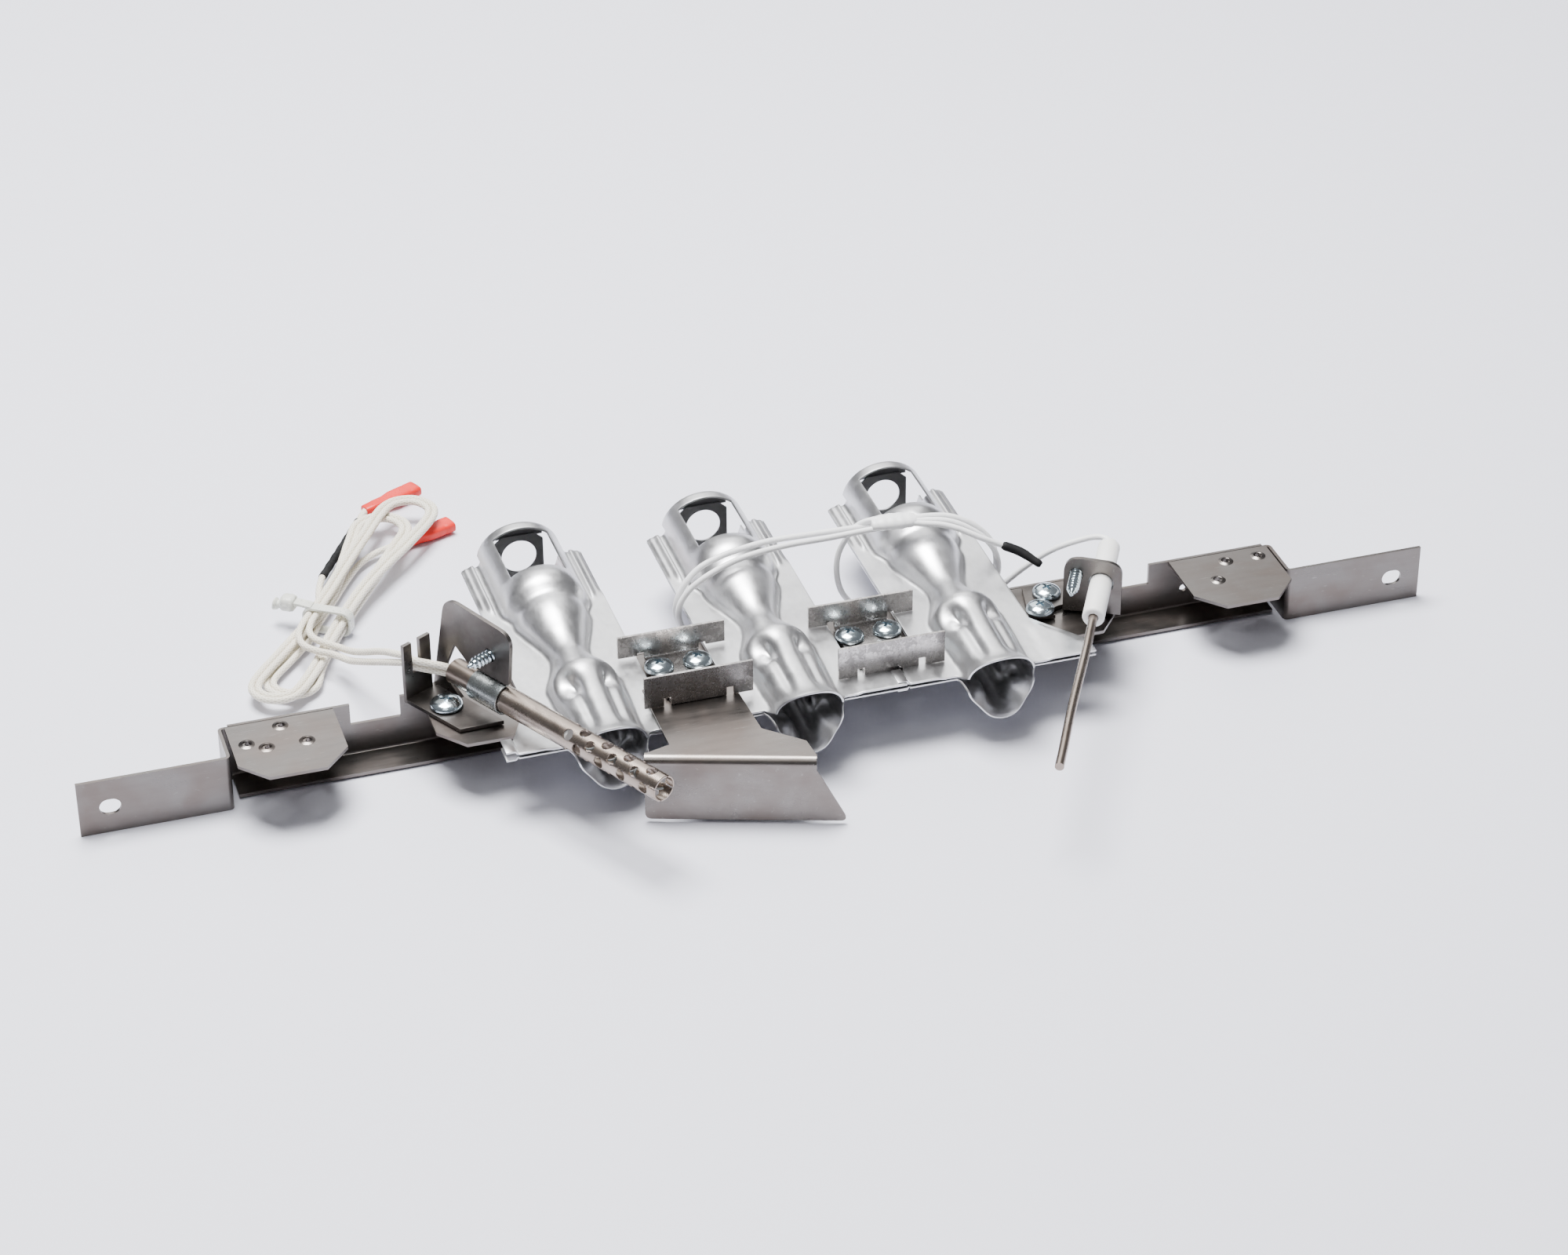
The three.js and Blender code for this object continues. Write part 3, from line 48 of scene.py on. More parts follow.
RAIL_ZERO = Vector((0.0, 26.955, 22.1))      # the rail's own zero in the row frame, in mm
TO_ROW = Matrix.Scale(MM, 4) @ Matrix.Translation(RAIL_ZERO)
BODY_NAME = "root"
Point = Sequence[float]
Mesh = bmesh.types.BMesh
Piece = bpy.types.Object
Socket = bpy.types.NodeSocket


def row(point: Point) -> Vector:
    """A point given in the rail's frame in mm, in the row frame in metres."""
    return TO_ROW @ Vector(point)


def carried(place: Matrix, points: Sequence[Point]) -> list:
    """The points of one frame in the frame that it is placed in."""
    return [place @ Vector(p) for p in points]


def points_of(values: Sequence[Point]) -> list:
    """Plain triples as vectors."""
    return [Vector(p) for p in values]


def ease(value: float, start: float, end: float) -> float:
    """A smooth step from 0 at start to 1 at end."""
    t = min(max((value - start) / (end - start), 0.0), 1.0)
    return t * t * (3 - 2 * t)


def bell(value: float, middle: float, spread: float) -> float:
    """A soft bump that is 1 at the middle."""
    return math.exp(-(((value - middle) / spread) ** 2))


# ---------------------------------------------------------------- shader groups
class Desk:
    """Adds nodes to one node tree and joins them."""

    def __init__(self, tree: bpy.types.NodeTree) -> None:
        """Keeps the tree that the nodes go into."""
        self.tree = tree

    def add(self, kind: str, inputs: Optional[dict] = None, **settings: object) -> bpy.types.Node:
        """Adds one node.

        Args:
            kind: the node's type name.
            inputs: values or sockets for its inputs, by name or number.
            settings: values for the node's own properties.

        Returns:
            The new node.
        """
        made = self.tree.nodes.new(kind)
        for name, value in settings.items():
            setattr(made, name, value)
        for name, value in (inputs or {}).items():
            if isinstance(value, Socket):
                self.tree.links.new(value, made.inputs[name])
            else:
                made.inputs[name].default_value = value
        return made

    def math(self, operation: str, a: object, b: object = 0.0) -> Socket:
        """The result socket of one sum."""
        return self.add("ShaderNodeMath", {0: a, 1: b}, operation=operation).outputs[0]

    def span(self, value: object, low: object, high: object, start: float = 0.0,
             end: float = 1.0) -> Socket:
        """The value carried from start..end to low..high."""
        made = self.add("ShaderNodeMapRange", {"Value": value, "From Min": start, "From Max": end,
                                               "To Min": low, "To Max": high})
        return made.outputs["Result"]

    def blend(self, factor: object, a: object, b: object, kind: str = "MIX") -> Socket:
        """The colour between a and b."""
        made = self.add("ShaderNodeMix", data_type="RGBA", blend_type=kind)
        for name, value in ((0, factor), (6, a), (7, b)):
            if isinstance(value, Socket):
                self.tree.links.new(value, made.inputs[name])
            else:
                made.inputs[name].default_value = value
        return made.outputs[2]


def colour(red: float, green: float, blue: float) -> tuple:
    """An opaque linear colour."""
    return (red, green, blue, 1.0)


class ShaderGroup:
    """A shader node group with named inputs and outputs, built once."""

    name = "group"
    inputs: tuple = ()
    outputs: tuple = (("Color", "NodeSocketColor"), ("Roughness", "NodeSocketFloat"),
                      ("Height", "NodeSocketFloat"))

    @classmethod
    def tree(cls) -> bpy.types.NodeTree:
        """Returns the group's tree, and builds it the first time."""
        known = bpy.data.node_groups.get(cls.name)
        if known:
            return known
        tree = bpy.data.node_groups.new(cls.name, "ShaderNodeTree")
        for label, kind in cls.inputs:
            tree.interface.new_socket(name=label, in_out="INPUT", socket_type=kind)
        for label, kind in cls.outputs:
            tree.interface.new_socket(name=label, in_out="OUTPUT", socket_type=kind)
        desk = Desk(tree)
        given = desk.add("NodeGroupInput").outputs
        result = desk.add("NodeGroupOutput").inputs
        for label, socket in cls.build(desk, given).items():
            tree.links.new(socket, result[label])
        return tree

    @classmethod
    def build(cls, desk: Desk, given: object) -> dict:
        """Builds the inside of the group.

        Args:
            desk: where the nodes go.
            given: the group's own inputs.

        Returns:
            The sockets for the outputs, by name.
        """
        raise NotImplementedError


class RolledSheet(ShaderGroup):
    """Cold-rolled sheet: drawn grain, blotches, rubbed spots and fine scratches."""

    name = "rolled_sheet"
    inputs = (("Tone", "NodeSocketColor"), ("Tint", "NodeSocketColor"), ("Tint Amount", "NodeSocketFloat"),
              ("Patch", "NodeSocketFloat"), ("Grain", "NodeSocketFloat"), ("Stretch", "NodeSocketVector"),
              ("Smooth", "NodeSocketFloat"), ("Rough", "NodeSocketFloat"))

    @classmethod
    def build(cls, desk: Desk, given: object) -> dict:
        """Builds the grain, the patches and the scratches."""
        place = desk.add("ShaderNodeTexCoord").outputs["Object"]
        drawn = desk.add("ShaderNodeVectorMath", {0: place, 1: given["Stretch"]}, operation="MULTIPLY").outputs[0]
        grain = desk.add("ShaderNodeTexNoise", {"Vector": drawn, "Scale": given["Grain"], "Detail": 5.0,
                                                "Roughness": 0.62}).outputs["Fac"]
        patch = desk.add("ShaderNodeTexNoise", {"Vector": place, "Scale": given["Patch"], "Detail": 4.0,
                                                "Distortion": 0.5}).outputs["Fac"]
        soft = desk.span(patch, 0.0, 1.0, 0.36, 0.66)
        line = desk.add("ShaderNodeVectorMath", {0: place, 1: (260.0, 1900.0, 700.0)},
                        operation="MULTIPLY").outputs[0]
        scratch = desk.add("ShaderNodeTexNoise", {"Vector": line, "Scale": 1.0, "Detail": 2.0}).outputs["Fac"]
        mark = desk.span(scratch, 0.0, 1.0, 0.66, 0.8)
        amount = desk.math("MULTIPLY", soft, given["Tint Amount"])
        tinted = desk.blend(amount, given["Tone"], given["Tint"])
        shade = desk.span(grain, 0.93, 1.06, 0.25, 0.75)
        lit = desk.add("ShaderNodeVectorMath", {0: tinted, "Scale": shade}, operation="SCALE").outputs[0]
        bright = desk.blend(desk.math("MULTIPLY", mark, 0.1), lit, colour(0.86, 0.86, 0.86))
        mixed = desk.math("ADD", desk.math("MULTIPLY", grain, 0.6), desk.math("MULTIPLY", soft, 0.4))
        rough = desk.span(mixed, given["Smooth"], given["Rough"], 0.2, 0.8)
        height = desk.math("SUBTRACT", grain, desk.math("MULTIPLY", mark, 0.2))
        return {"Color": bright, "Roughness": rough, "Height": height}


class Spangle(ShaderGroup):
    """Hot-dip zinc: crystal flakes of slightly different grey, with dark stained spots."""

    name = "zinc_spangle"
    inputs = (("Tone", "NodeSocketColor"), ("Dark", "NodeSocketColor"), ("Flake", "NodeSocketFloat"),
              ("Stain", "NodeSocketFloat"), ("Smooth", "NodeSocketFloat"), ("Rough", "NodeSocketFloat"))

    @classmethod
    def build(cls, desk: Desk, given: object) -> dict:
        """Builds the flakes and the stains."""
        place = desk.add("ShaderNodeTexCoord").outputs["Object"]
        wobble = desk.add("ShaderNodeTexNoise", {"Vector": place, "Scale": 500.0, "Detail": 3.0})
        bent = desk.blend(0.004, place, wobble.outputs["Color"], "ADD")
        cell = desk.add("ShaderNodeTexVoronoi", {"Vector": bent, "Scale": given["Flake"]})
        flake = desk.add("ShaderNodeSeparateColor", {0: cell.outputs["Color"]}).outputs[0]
        fine = desk.add("ShaderNodeTexNoise", {"Vector": place, "Scale": 1500.0, "Detail": 4.0}).outputs["Fac"]
        broad = desk.add("ShaderNodeTexNoise", {"Vector": place, "Scale": 90.0, "Detail": 3.0}).outputs["Fac"]
        mix = desk.math("ADD", desk.math("MULTIPLY", flake, 0.35), desk.math("MULTIPLY", fine, 0.65))
        spot = desk.span(desk.math("MULTIPLY", mix, desk.span(broad, 0.6, 1.4, 0.35, 0.65)), 0.0, 1.0, 0.32, 0.62)
        tone = desk.blend(desk.math("MULTIPLY", spot, given["Stain"]), given["Tone"], given["Dark"])
        rough = desk.span(mix, given["Smooth"], given["Rough"], 0.25, 0.75)
        return {"Color": tone, "Roughness": rough, "Height": mix}


class Mottle(ShaderGroup):
    """Cast, fired or moulded stuff: faint clouds of tone and a fine tooth."""

    name = "fine_mottle"
    inputs = (("Tone", "NodeSocketColor"), ("Shade", "NodeSocketColor"), ("Cloud", "NodeSocketFloat"),
              ("Tooth", "NodeSocketFloat"), ("Smooth", "NodeSocketFloat"), ("Rough", "NodeSocketFloat"))

    @classmethod
    def build(cls, desk: Desk, given: object) -> dict:
        """Builds the clouds and the tooth."""
        place = desk.add("ShaderNodeTexCoord").outputs["Object"]
        cloud = desk.add("ShaderNodeTexNoise", {"Vector": place, "Scale": given["Cloud"], "Detail": 4.0}).outputs["Fac"]
        tooth = desk.add("ShaderNodeTexNoise", {"Vector": place, "Scale": given["Tooth"], "Detail": 3.0}).outputs["Fac"]
        tone = desk.blend(desk.span(cloud, 0.0, 1.0, 0.35, 0.75), given["Tone"], given["Shade"])
        return {"Color": tone, "Roughness": desk.span(tooth, given["Smooth"], given["Rough"], 0.3, 0.7),
                "Height": tooth}


class BraidWeave(ShaderGroup):
    """Glass-fibre braid: two sets of yarns that cross round the lead, with painted shade in the troughs between the
    yarns.
    """

    name = "braid_weave"
    inputs = (("Tone", "NodeSocketColor"), ("Shade", "NodeSocketColor"), ("Yarns", "NodeSocketFloat"),
              ("Lay", "NodeSocketFloat"), ("Smooth", "NodeSocketFloat"), ("Rough", "NodeSocketFloat"))

    @classmethod
    def build(cls, desk: Desk, given: object) -> dict:
        """Builds the two crossing waves from the tube's own lengthways and round-ways places."""
        lay = desk.add("ShaderNodeUVMap", uv_map="lay").outputs["UV"]
        parts = desk.add("ShaderNodeSeparateXYZ", {0: lay}).outputs
        turn = desk.math("MULTIPLY", parts[0], desk.math("MULTIPLY", given["Yarns"], math.tau))
        run = desk.math("MULTIPLY", parts[1], desk.math("MULTIPLY", given["Lay"], math.tau))
        left = desk.math("SINE", desk.math("ADD", turn, run))
        right = desk.math("SINE", desk.math("SUBTRACT", turn, run))
        weave = desk.span(desk.math("MAXIMUM", left, right), 0.0, 1.0, -0.4, 1.0)
        place = desk.add("ShaderNodeTexCoord").outputs["Object"]
        dirt = desk.add("ShaderNodeTexNoise", {"Vector": place, "Scale": 110.0, "Detail": 5.0}).outputs["Fac"]
        # The troughs between the yarns are blended towards the Shade colour: painted shade between the yarns.
        tone = desk.blend(desk.math("MULTIPLY", desk.math("SUBTRACT", 1.0, weave), 0.8), given["Tone"], given["Shade"])
        aged = desk.blend(desk.span(dirt, 0.0, 0.25, 0.5, 0.75), tone, colour(0.62, 0.55, 0.42))
        return {"Color": aged, "Roughness": desk.span(weave, given["Rough"], given["Smooth"]), "Height": weave}


# ---------------------------------------------------------------- finishes
@dataclass(frozen=True)
class Finish:
    """One finish: a shader group with its values, and the constants of the surface."""

    slot: str
    group: type
    values: dict
    metallic: float = 1.0
    coat: float = 0.0
    clear: float = 0.0
    depth: float = 0.05
    flow: float = 0.0
    shine: float = 0.5

    def material(self, name: str) -> bpy.types.Material:
        """Returns the material of that name, and makes it the first time."""
        known = bpy.data.materials.get(name)
        if known:
            return known
        made = bpy.data.materials.new(name)
        made.use_nodes = True
        desk = Desk(made.node_tree)
        shader = made.node_tree.nodes["Principled BSDF"]
        effect = desk.add("ShaderNodeGroup", node_tree=self.group.tree())
        for label, value in self.values.items():
            effect.inputs[label].default_value = value
        bump = desk.add("ShaderNodeBump", {"Strength": 0.6, "Distance": self.depth * MM,
                                           "Height": effect.outputs["Height"]})
        made.node_tree.links.new(effect.outputs["Color"], shader.inputs["Base Color"])
        made.node_tree.links.new(effect.outputs["Roughness"], shader.inputs["Roughness"])
        made.node_tree.links.new(bump.outputs["Normal"], shader.inputs["Normal"])
        shader.inputs["Metallic"].default_value = self.metallic
        shader.inputs["Coat Weight"].default_value = self.coat
        shader.inputs["Coat Roughness"].default_value = 0.2
        shader.inputs["Transmission Weight"].default_value = self.clear
        shader.inputs["Specular IOR Level"].default_value = self.shine
        shader.inputs["Subsurface Weight"].default_value = self.flow
        shader.inputs["Subsurface Radius"].default_value = (0.002, 0.002, 0.002)
        return made


def rolled(slot: str, tone: tuple, tint: tuple, amount: float, smooth: float, rough: float, patch: float = 60.0,
           grain: float = 420.0, stretch: tuple = (0.12, 1.0, 1.0), depth: float = 0.012) -> Finish:
    """A finish on rolled sheet with the given tones and roughness."""
    return Finish(slot, RolledSheet, {"Tone": colour(*tone), "Tint": colour(*tint), "Tint Amount": amount,
                                      "Patch": patch, "Grain": grain, "Stretch": stretch, "Smooth": smooth,
                                      "Rough": rough}, depth=depth)


def spangled(slot: str, tone: tuple, dark: tuple, flake: float, stain: float, smooth: float, rough: float,
             **more: float) -> Finish:
    """A zinc finish with crystal flakes and stained spots."""
    return Finish(slot, Spangle, {"Tone": colour(*tone), "Dark": colour(*dark), "Flake": flake, "Stain": stain,
                                  "Smooth": smooth, "Rough": rough}, **more)


def mottled(slot: str, tone: tuple, shade: tuple, smooth: float, rough: float, **more: float) -> Finish:
    """A finish on fired or moulded stuff."""
    return Finish(slot, Mottle, {"Tone": colour(*tone), "Shade": colour(*shade), "Cloud": 120.0, "Tooth": 900.0,
                                 "Smooth": smooth, "Rough": rough}, metallic=0.0, **more)


class Stuff(Enum):
    """What the pieces are made of."""

    RAIL_STEEL = rolled("rail_steel", (0.17, 0.159, 0.151), (0.145, 0.115, 0.1), 0.6, 0.26, 0.4, depth=0.004)
    ALUMINISED = rolled("aluminised_steel", (0.66, 0.66, 0.667), (0.57, 0.573, 0.585), 0.5, 0.3, 0.44,
                        patch=110.0, grain=500.0, stretch=(1.0, 0.5, 1.0), depth=0.0035)
    # A darker copy of the aluminised steel for the inlet plates: painted shade for the shadow inside the burner's
    # tunnel.
    INLET_STEEL = rolled("aluminised_steel", (0.3, 0.3, 0.31), (0.22, 0.22, 0.23), 0.6, 0.3, 0.45, depth=0.004)
    GALVANISED = spangled("galvanised_steel", (0.55, 0.525, 0.51), (0.2, 0.19, 0.185), 620.0, 0.7, 0.2, 0.36,
                          depth=0.006)
    CLAMP_ZINC = spangled("galvanised_steel", (0.5, 0.53, 0.525), (0.2, 0.22, 0.22), 900.0, 0.5, 0.2, 0.38,
                          depth=0.02)
    STAINLESS = rolled("stainless", (0.2, 0.185, 0.174), (0.158, 0.128, 0.112), 0.7, 0.24, 0.38, patch=45.0,
                       depth=0.004)
    TUBE_STEEL = rolled("stainless", (0.36, 0.307, 0.265), (0.26, 0.205, 0.17), 0.6, 0.22, 0.34,
                        stretch=(1.0, 0.2, 1.0), depth=0.004)
    BRACKET_STEEL = rolled("bracket_steel", (0.16, 0.149, 0.141), (0.12, 0.102, 0.092), 0.6, 0.26, 0.42, patch=90.0,
                           depth=0.004)
    ZINC = spangled("zinc_screw", (0.6, 0.69, 0.74), (0.34, 0.42, 0.47), 900.0, 0.35, 0.1, 0.24, coat=0.3,
                    depth=0.01)
    CERAMIC = mottled("ceramic", (0.9, 0.895, 0.88), (0.84, 0.83, 0.8), 0.35, 0.55, depth=0.02)
    ELEMENT = mottled("element", (0.2, 0.21, 0.2), (0.12, 0.12, 0.12), 0.6, 0.8, depth=0.06)
    BRAID = Finish("braid", BraidWeave, {"Tone": colour(0.88, 0.84, 0.74), "Shade": colour(0.55, 0.49, 0.38),
                   "Yarns": 8.0, "Lay": 0.42, "Smooth": 0.7, "Rough": 0.95}, metallic=0.0, depth=0.16)
    SILICONE = mottled("silicone", (0.92, 0.92, 0.925), (0.86, 0.86, 0.87), 0.3, 0.45, depth=0.015)
    RED_VINYL = mottled("red_vinyl", (0.75, 0.03, 0.022), (0.6, 0.018, 0.013), 0.25, 0.4, shine=0.3)
    NYLON = mottled("nylon", (0.86, 0.87, 0.8), (0.8, 0.81, 0.74), 0.25, 0.4, clear=0.3, flow=0.25)
    BLACK_SLEEVE = mottled("black_sleeve", (0.008, 0.008, 0.009), (0.016, 0.016, 0.016), 0.5, 0.7, depth=0.05,
                           shine=0.12)

    def dress(self, piece: Piece) -> None:
        """Puts this stuff on a piece."""
        piece.data.materials.clear()
        piece.data.materials.append(self.value.material(f"{self.name.lower()}_look"))


# ---------------------------------------------------------------- mesh helpers
def finish_piece(name: str, mesh: Mesh, stuff: Stuff, replaced: Sequence[str] = (),
                 place: Matrix = Matrix.Identity(4), sharp: float = 40.0, in_row: bool = False) -> Piece:
    """Turns a mesh in mm into a dressed piece that rides on the assembly.

    Args:
        name: the piece's name.
        mesh: its shape, in mm in its own frame.
        stuff: what it is made of.
        replaced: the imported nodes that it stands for.
        place: its own frame in the rail's frame.
        sharp: the angle over which an edge stays crisp.
        in_row: True where the mesh is in the row frame in metres already.

    Returns:
        The new object.
    """
    if not in_row:
        mesh.transform(TO_ROW @ place)
    bmesh.ops.recalc_face_normals(mesh, faces=mesh.faces)
    data = bpy.data.meshes.new(name)
    mesh.to_mesh(data)
    mesh.free()
    data.shade_smooth()
    data.set_sharp_from_angle(angle=math.radians(sharp))
    piece = bpy.data.objects.new(name, data)
    bpy.context.scene.collection.objects.link(piece)
    stuff.dress(piece)
    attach(piece, BODY_NAME)
    if replaced:
        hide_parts(*replaced)
    LOG.info("%s: %d faces", name, len(data.polygons))
    return piece


def break_edges(piece: Piece, width: float, angle: float = 32.0, flats: bool = True) -> None:
    """Rounds the crisp edges of a piece a little, and keeps its flats flat where it has any."""
    bevel = piece.modifiers.new("broken_edges", "BEVEL")
    bevel.width = width * MM
    bevel.segments = 2
    bevel.limit_method = "ANGLE"
    bevel.angle_limit = math.radians(angle)
    bevel.harden_normals = False
    if flats:
        piece.modifiers.new("flat_faces", "WEIGHTED_NORMAL").keep_sharp = False


def folded_piece(node: str, stuff: Stuff, edge: float = 0.16) -> Piece:
    """A folded sheet piece on its packed outline, with broken edges and merged flats."""
    mesh = bmesh.new()
    mesh.from_mesh(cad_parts[node].data)
    bmesh.ops.remove_doubles(mesh, verts=mesh.verts, dist=2e-6)
    bmesh.ops.dissolve_limit(mesh, angle_limit=math.radians(1.5), verts=mesh.verts, edges=mesh.edges)
    piece = finish_piece(f"{node}_sheet", mesh, stuff, [node], in_row=True, sharp=32.0)
    break_edges(piece, edge)
    return piece


def add_grid(mesh: Mesh, rows: Sequence[Sequence[Point]], closed: bool = False,
             keep: Optional[Callable[[int, int], bool]] = None, capped: bool = False) -> list:
    """Adds a net of quads over rows of points.

    Args:
        mesh: where the net goes.
        rows: rows of the same number of points.
        closed: True where each row closes on itself.
        keep: says which quads are made, by row and column.
        capped: True where the first and the last row are filled in.

    Returns:
        The rows of vertices.
    """
    net = [[mesh.verts.new(p) for p in line] for line in rows]
    width = len(rows[0])
    for r in range(len(rows) - 1):
        for c in range(width if closed else width - 1):
            if keep and not keep(r, c):
                continue
            d = (c + 1) % width
            mesh.faces.new((net[r][c], net[r][d], net[r + 1][d], net[r + 1][c]))
    if capped:
        mesh.faces.new(net[0])
        mesh.faces.new(net[-1])
    return net


def add_lathe(mesh: Mesh, profile: Sequence[tuple], sides: int = 40,
              place: Matrix = Matrix.Identity(4)) -> None:
    """Adds a turned shape: the profile is (radius, height) pairs, and the axis is the place's Z."""
    rows = []
    for radius, height in profile:
        reach = max(radius, 1e-3)
        turns = (math.tau * i / sides for i in range(sides))
        rows.append([place @ Vector((reach * math.cos(a), reach * math.sin(a), height)) for a in turns])
    net = add_grid(mesh, rows, closed=True)
    for end, (radius, _) in ((net[0], profile[0]), (net[-1], profile[-1])):
        if radius < 0.01:
            bmesh.ops.pointmerge(mesh, verts=end, merge_co=sum((v.co for v in end), Vector()) / len(end))
        elif profile[0] != profile[-1]:
            mesh.faces.new(end)


def smooth_path(points: Sequence[Point], step: float = 1.6) -> list:
    """A centripetal Catmull-Rom curve through the points, sampled about every step."""
    given = [Vector(p) for p in points]
    given = [2 * given[0] - given[1]] + given + [2 * given[-1] - given[-2]]
    path = []
    for i in range(1, len(given) - 2):
        p0, p1, p2, p3 = given[i - 1:i + 3]
        d1, d2, d3 = (max((b - a).length, 1e-6) ** 0.5 for a, b in ((p0, p1), (p1, p2), (p2, p3)))
        m1 = ((p1 - p0) / d1 - (p2 - p0) / (d1 + d2) + (p2 - p1) / d2) * d2
        m2 = ((p2 - p1) / d2 - (p3 - p1) / (d2 + d3) + (p3 - p2) / d3) * d2
        count = max(2, round((p2 - p1).length / step))
        for k in range(count):
            t = k / count
            path.append((2 * t ** 3 - 3 * t ** 2 + 1) * p1 + (t ** 3 - 2 * t ** 2 + t) * m1
                        + (3 * t ** 2 - 2 * t ** 3) * p2 + (t ** 3 - t ** 2) * m2)
    path.append(given[-2])
    return path


def add_tube(mesh: Mesh, path: Sequence[Vector], radius: Union[float, Callable[[float], float]],
             sides: int = 12, flat: float = 1.0) -> None:
    """Adds a round tube along a path, with its lay in a map named lay.

    Args:
        mesh: where the tube goes.
        path: the points that it follows.
        radius: its radius, or the radius at each share of its length.
        sides: how many sides it has.
        flat: its height as a share of its width.
    """
    lay = mesh.loops.layers.uv.get("lay") or mesh.loops.layers.uv.new("lay")
    tangent = (path[1] - path[0]).normalized()
    normal = tangent.cross(Vector((0, 0, 1)) if abs(tangent.z) < 0.9 else Vector((1, 0, 0))).normalized()
    rings, runs, run = [], [], 0.0
    for i, at in enumerate(path):
        ahead = (path[min(i + 1, len(path) - 1)] - path[max(i - 1, 0)]).normalized()
        normal = (normal - ahead * normal.dot(ahead)).normalized()
        side = ahead.cross(normal)
        run += (at - path[i - 1]).length if i else 0.0
        size = radius(i / (len(path) - 1)) if callable(radius) else radius
        rings.append([at + size * (math.cos(a) * normal + flat * math.sin(a) * side)
                      for a in (math.tau * k / sides for k in range(sides))])
        runs.append(run)
    net = [[mesh.verts.new(p) for p in ring] for ring in rings]
    for r in range(len(net) - 1):
        for c in range(sides):
            d = (c + 1) % sides
            face = mesh.faces.new((net[r][c], net[r][d], net[r + 1][d], net[r + 1][c]))
            for loop, (u, v) in zip(face.loops, ((c, r), (c + 1, r), (c + 1, r + 1), (c, r + 1))):
                loop[lay].uv = (u / sides, runs[v])
    for end in (net[0], net[-1]):
        mesh.faces.new(end)


def add_ribbon(mesh: Mesh, path: Sequence[Vector], across: Vector, thickness: float) -> None:
    """Adds a flat band along a path; across is half its width, as a vector."""
    rings = []
    for i, at in enumerate(path):
        ahead = (path[min(i + 1, len(path) - 1)] - path[max(i - 1, 0)]).normalized()
        out = ahead.cross(across).normalized() * thickness / 2
        rings.append([at - across - out, at + across - out, at + across + out, at - across + out])
    add_grid(mesh, rings, closed=True, capped=True)


def add_plate(mesh: Mesh, outline: Sequence[tuple], hole: Sequence[tuple], y0: float, y1: float) -> None:
    """Adds an upright plate between two Y planes: the outline and the hole are (x, z) pairs."""
    edges = []
    for loop in (outline, hole):
        verts = [mesh.verts.new((x, y0, z)) for x, z in loop]
        edges += [mesh.edges.new((a, b)) for a, b in zip(verts, verts[1:] + verts[:1])] if verts else []
    faces = [f for f in bmesh.ops.triangle_fill(mesh, use_beauty=True, edges=edges)["geom"]
             if isinstance(f, bmesh.types.BMFace)]
    grown = bmesh.ops.extrude_face_region(mesh, geom=faces, use_keep_orig=True)["geom"]
    bmesh.ops.translate(mesh, vec=(0, y1 - y0, 0), verts=[v for v in grown if isinstance(v, bmesh.types.BMVert)])


def cut_with(piece: Piece, cutter: Mesh) -> None:
    """Takes a cutter mesh, in the row frame, out of a piece's own mesh."""
    data = bpy.data.meshes.new("cutter")
    bmesh.ops.recalc_face_normals(cutter, faces=cutter.faces)
    cutter.to_mesh(data)
    cutter.free()
    tool = bpy.data.objects.new("cutter", data)
    bpy.context.scene.collection.objects.link(tool)
    change = piece.modifiers.new("cut", "BOOLEAN")
    change.operation = "DIFFERENCE"
    change.solver = "EXACT"
    change.object = tool
    shaped = bpy.data.meshes.new_from_object(piece.evaluated_get(bpy.context.evaluated_depsgraph_get()))
    piece.modifiers.remove(change)
    piece.data = shaped
    shaped.set_sharp_from_angle(angle=math.radians(35.0))
    bpy.data.objects.remove(tool)


# ---------------------------------------------------------------- shared places
PITCH = 70.0
BURNERS_X = (-PITCH, 0.0, PITCH)
JOINTS_X = (-PITCH / 2, PITCH / 2)
PARTING_Z = 1.25
GAP = 0.5
SHEET = 0.7
ABOUT_X = Matrix.Rotation(math.pi / 2, 4, "X")
ABOUT_Y = Matrix.Rotation(math.pi / 2, 4, "Y")


def station(x: float, y: float, degrees: float) -> Matrix:
    """The frame of a turned bracket in the rail's frame."""
    return Matrix.Translation((x, y, 0)) @ Matrix.Rotation(math.radians(degrees), 4, "Z")


IGNITER_FRAME = station(-130.4, -4.9, 28.5)
SENSOR_FRAME = station(106.2, -20.1, -28.0)


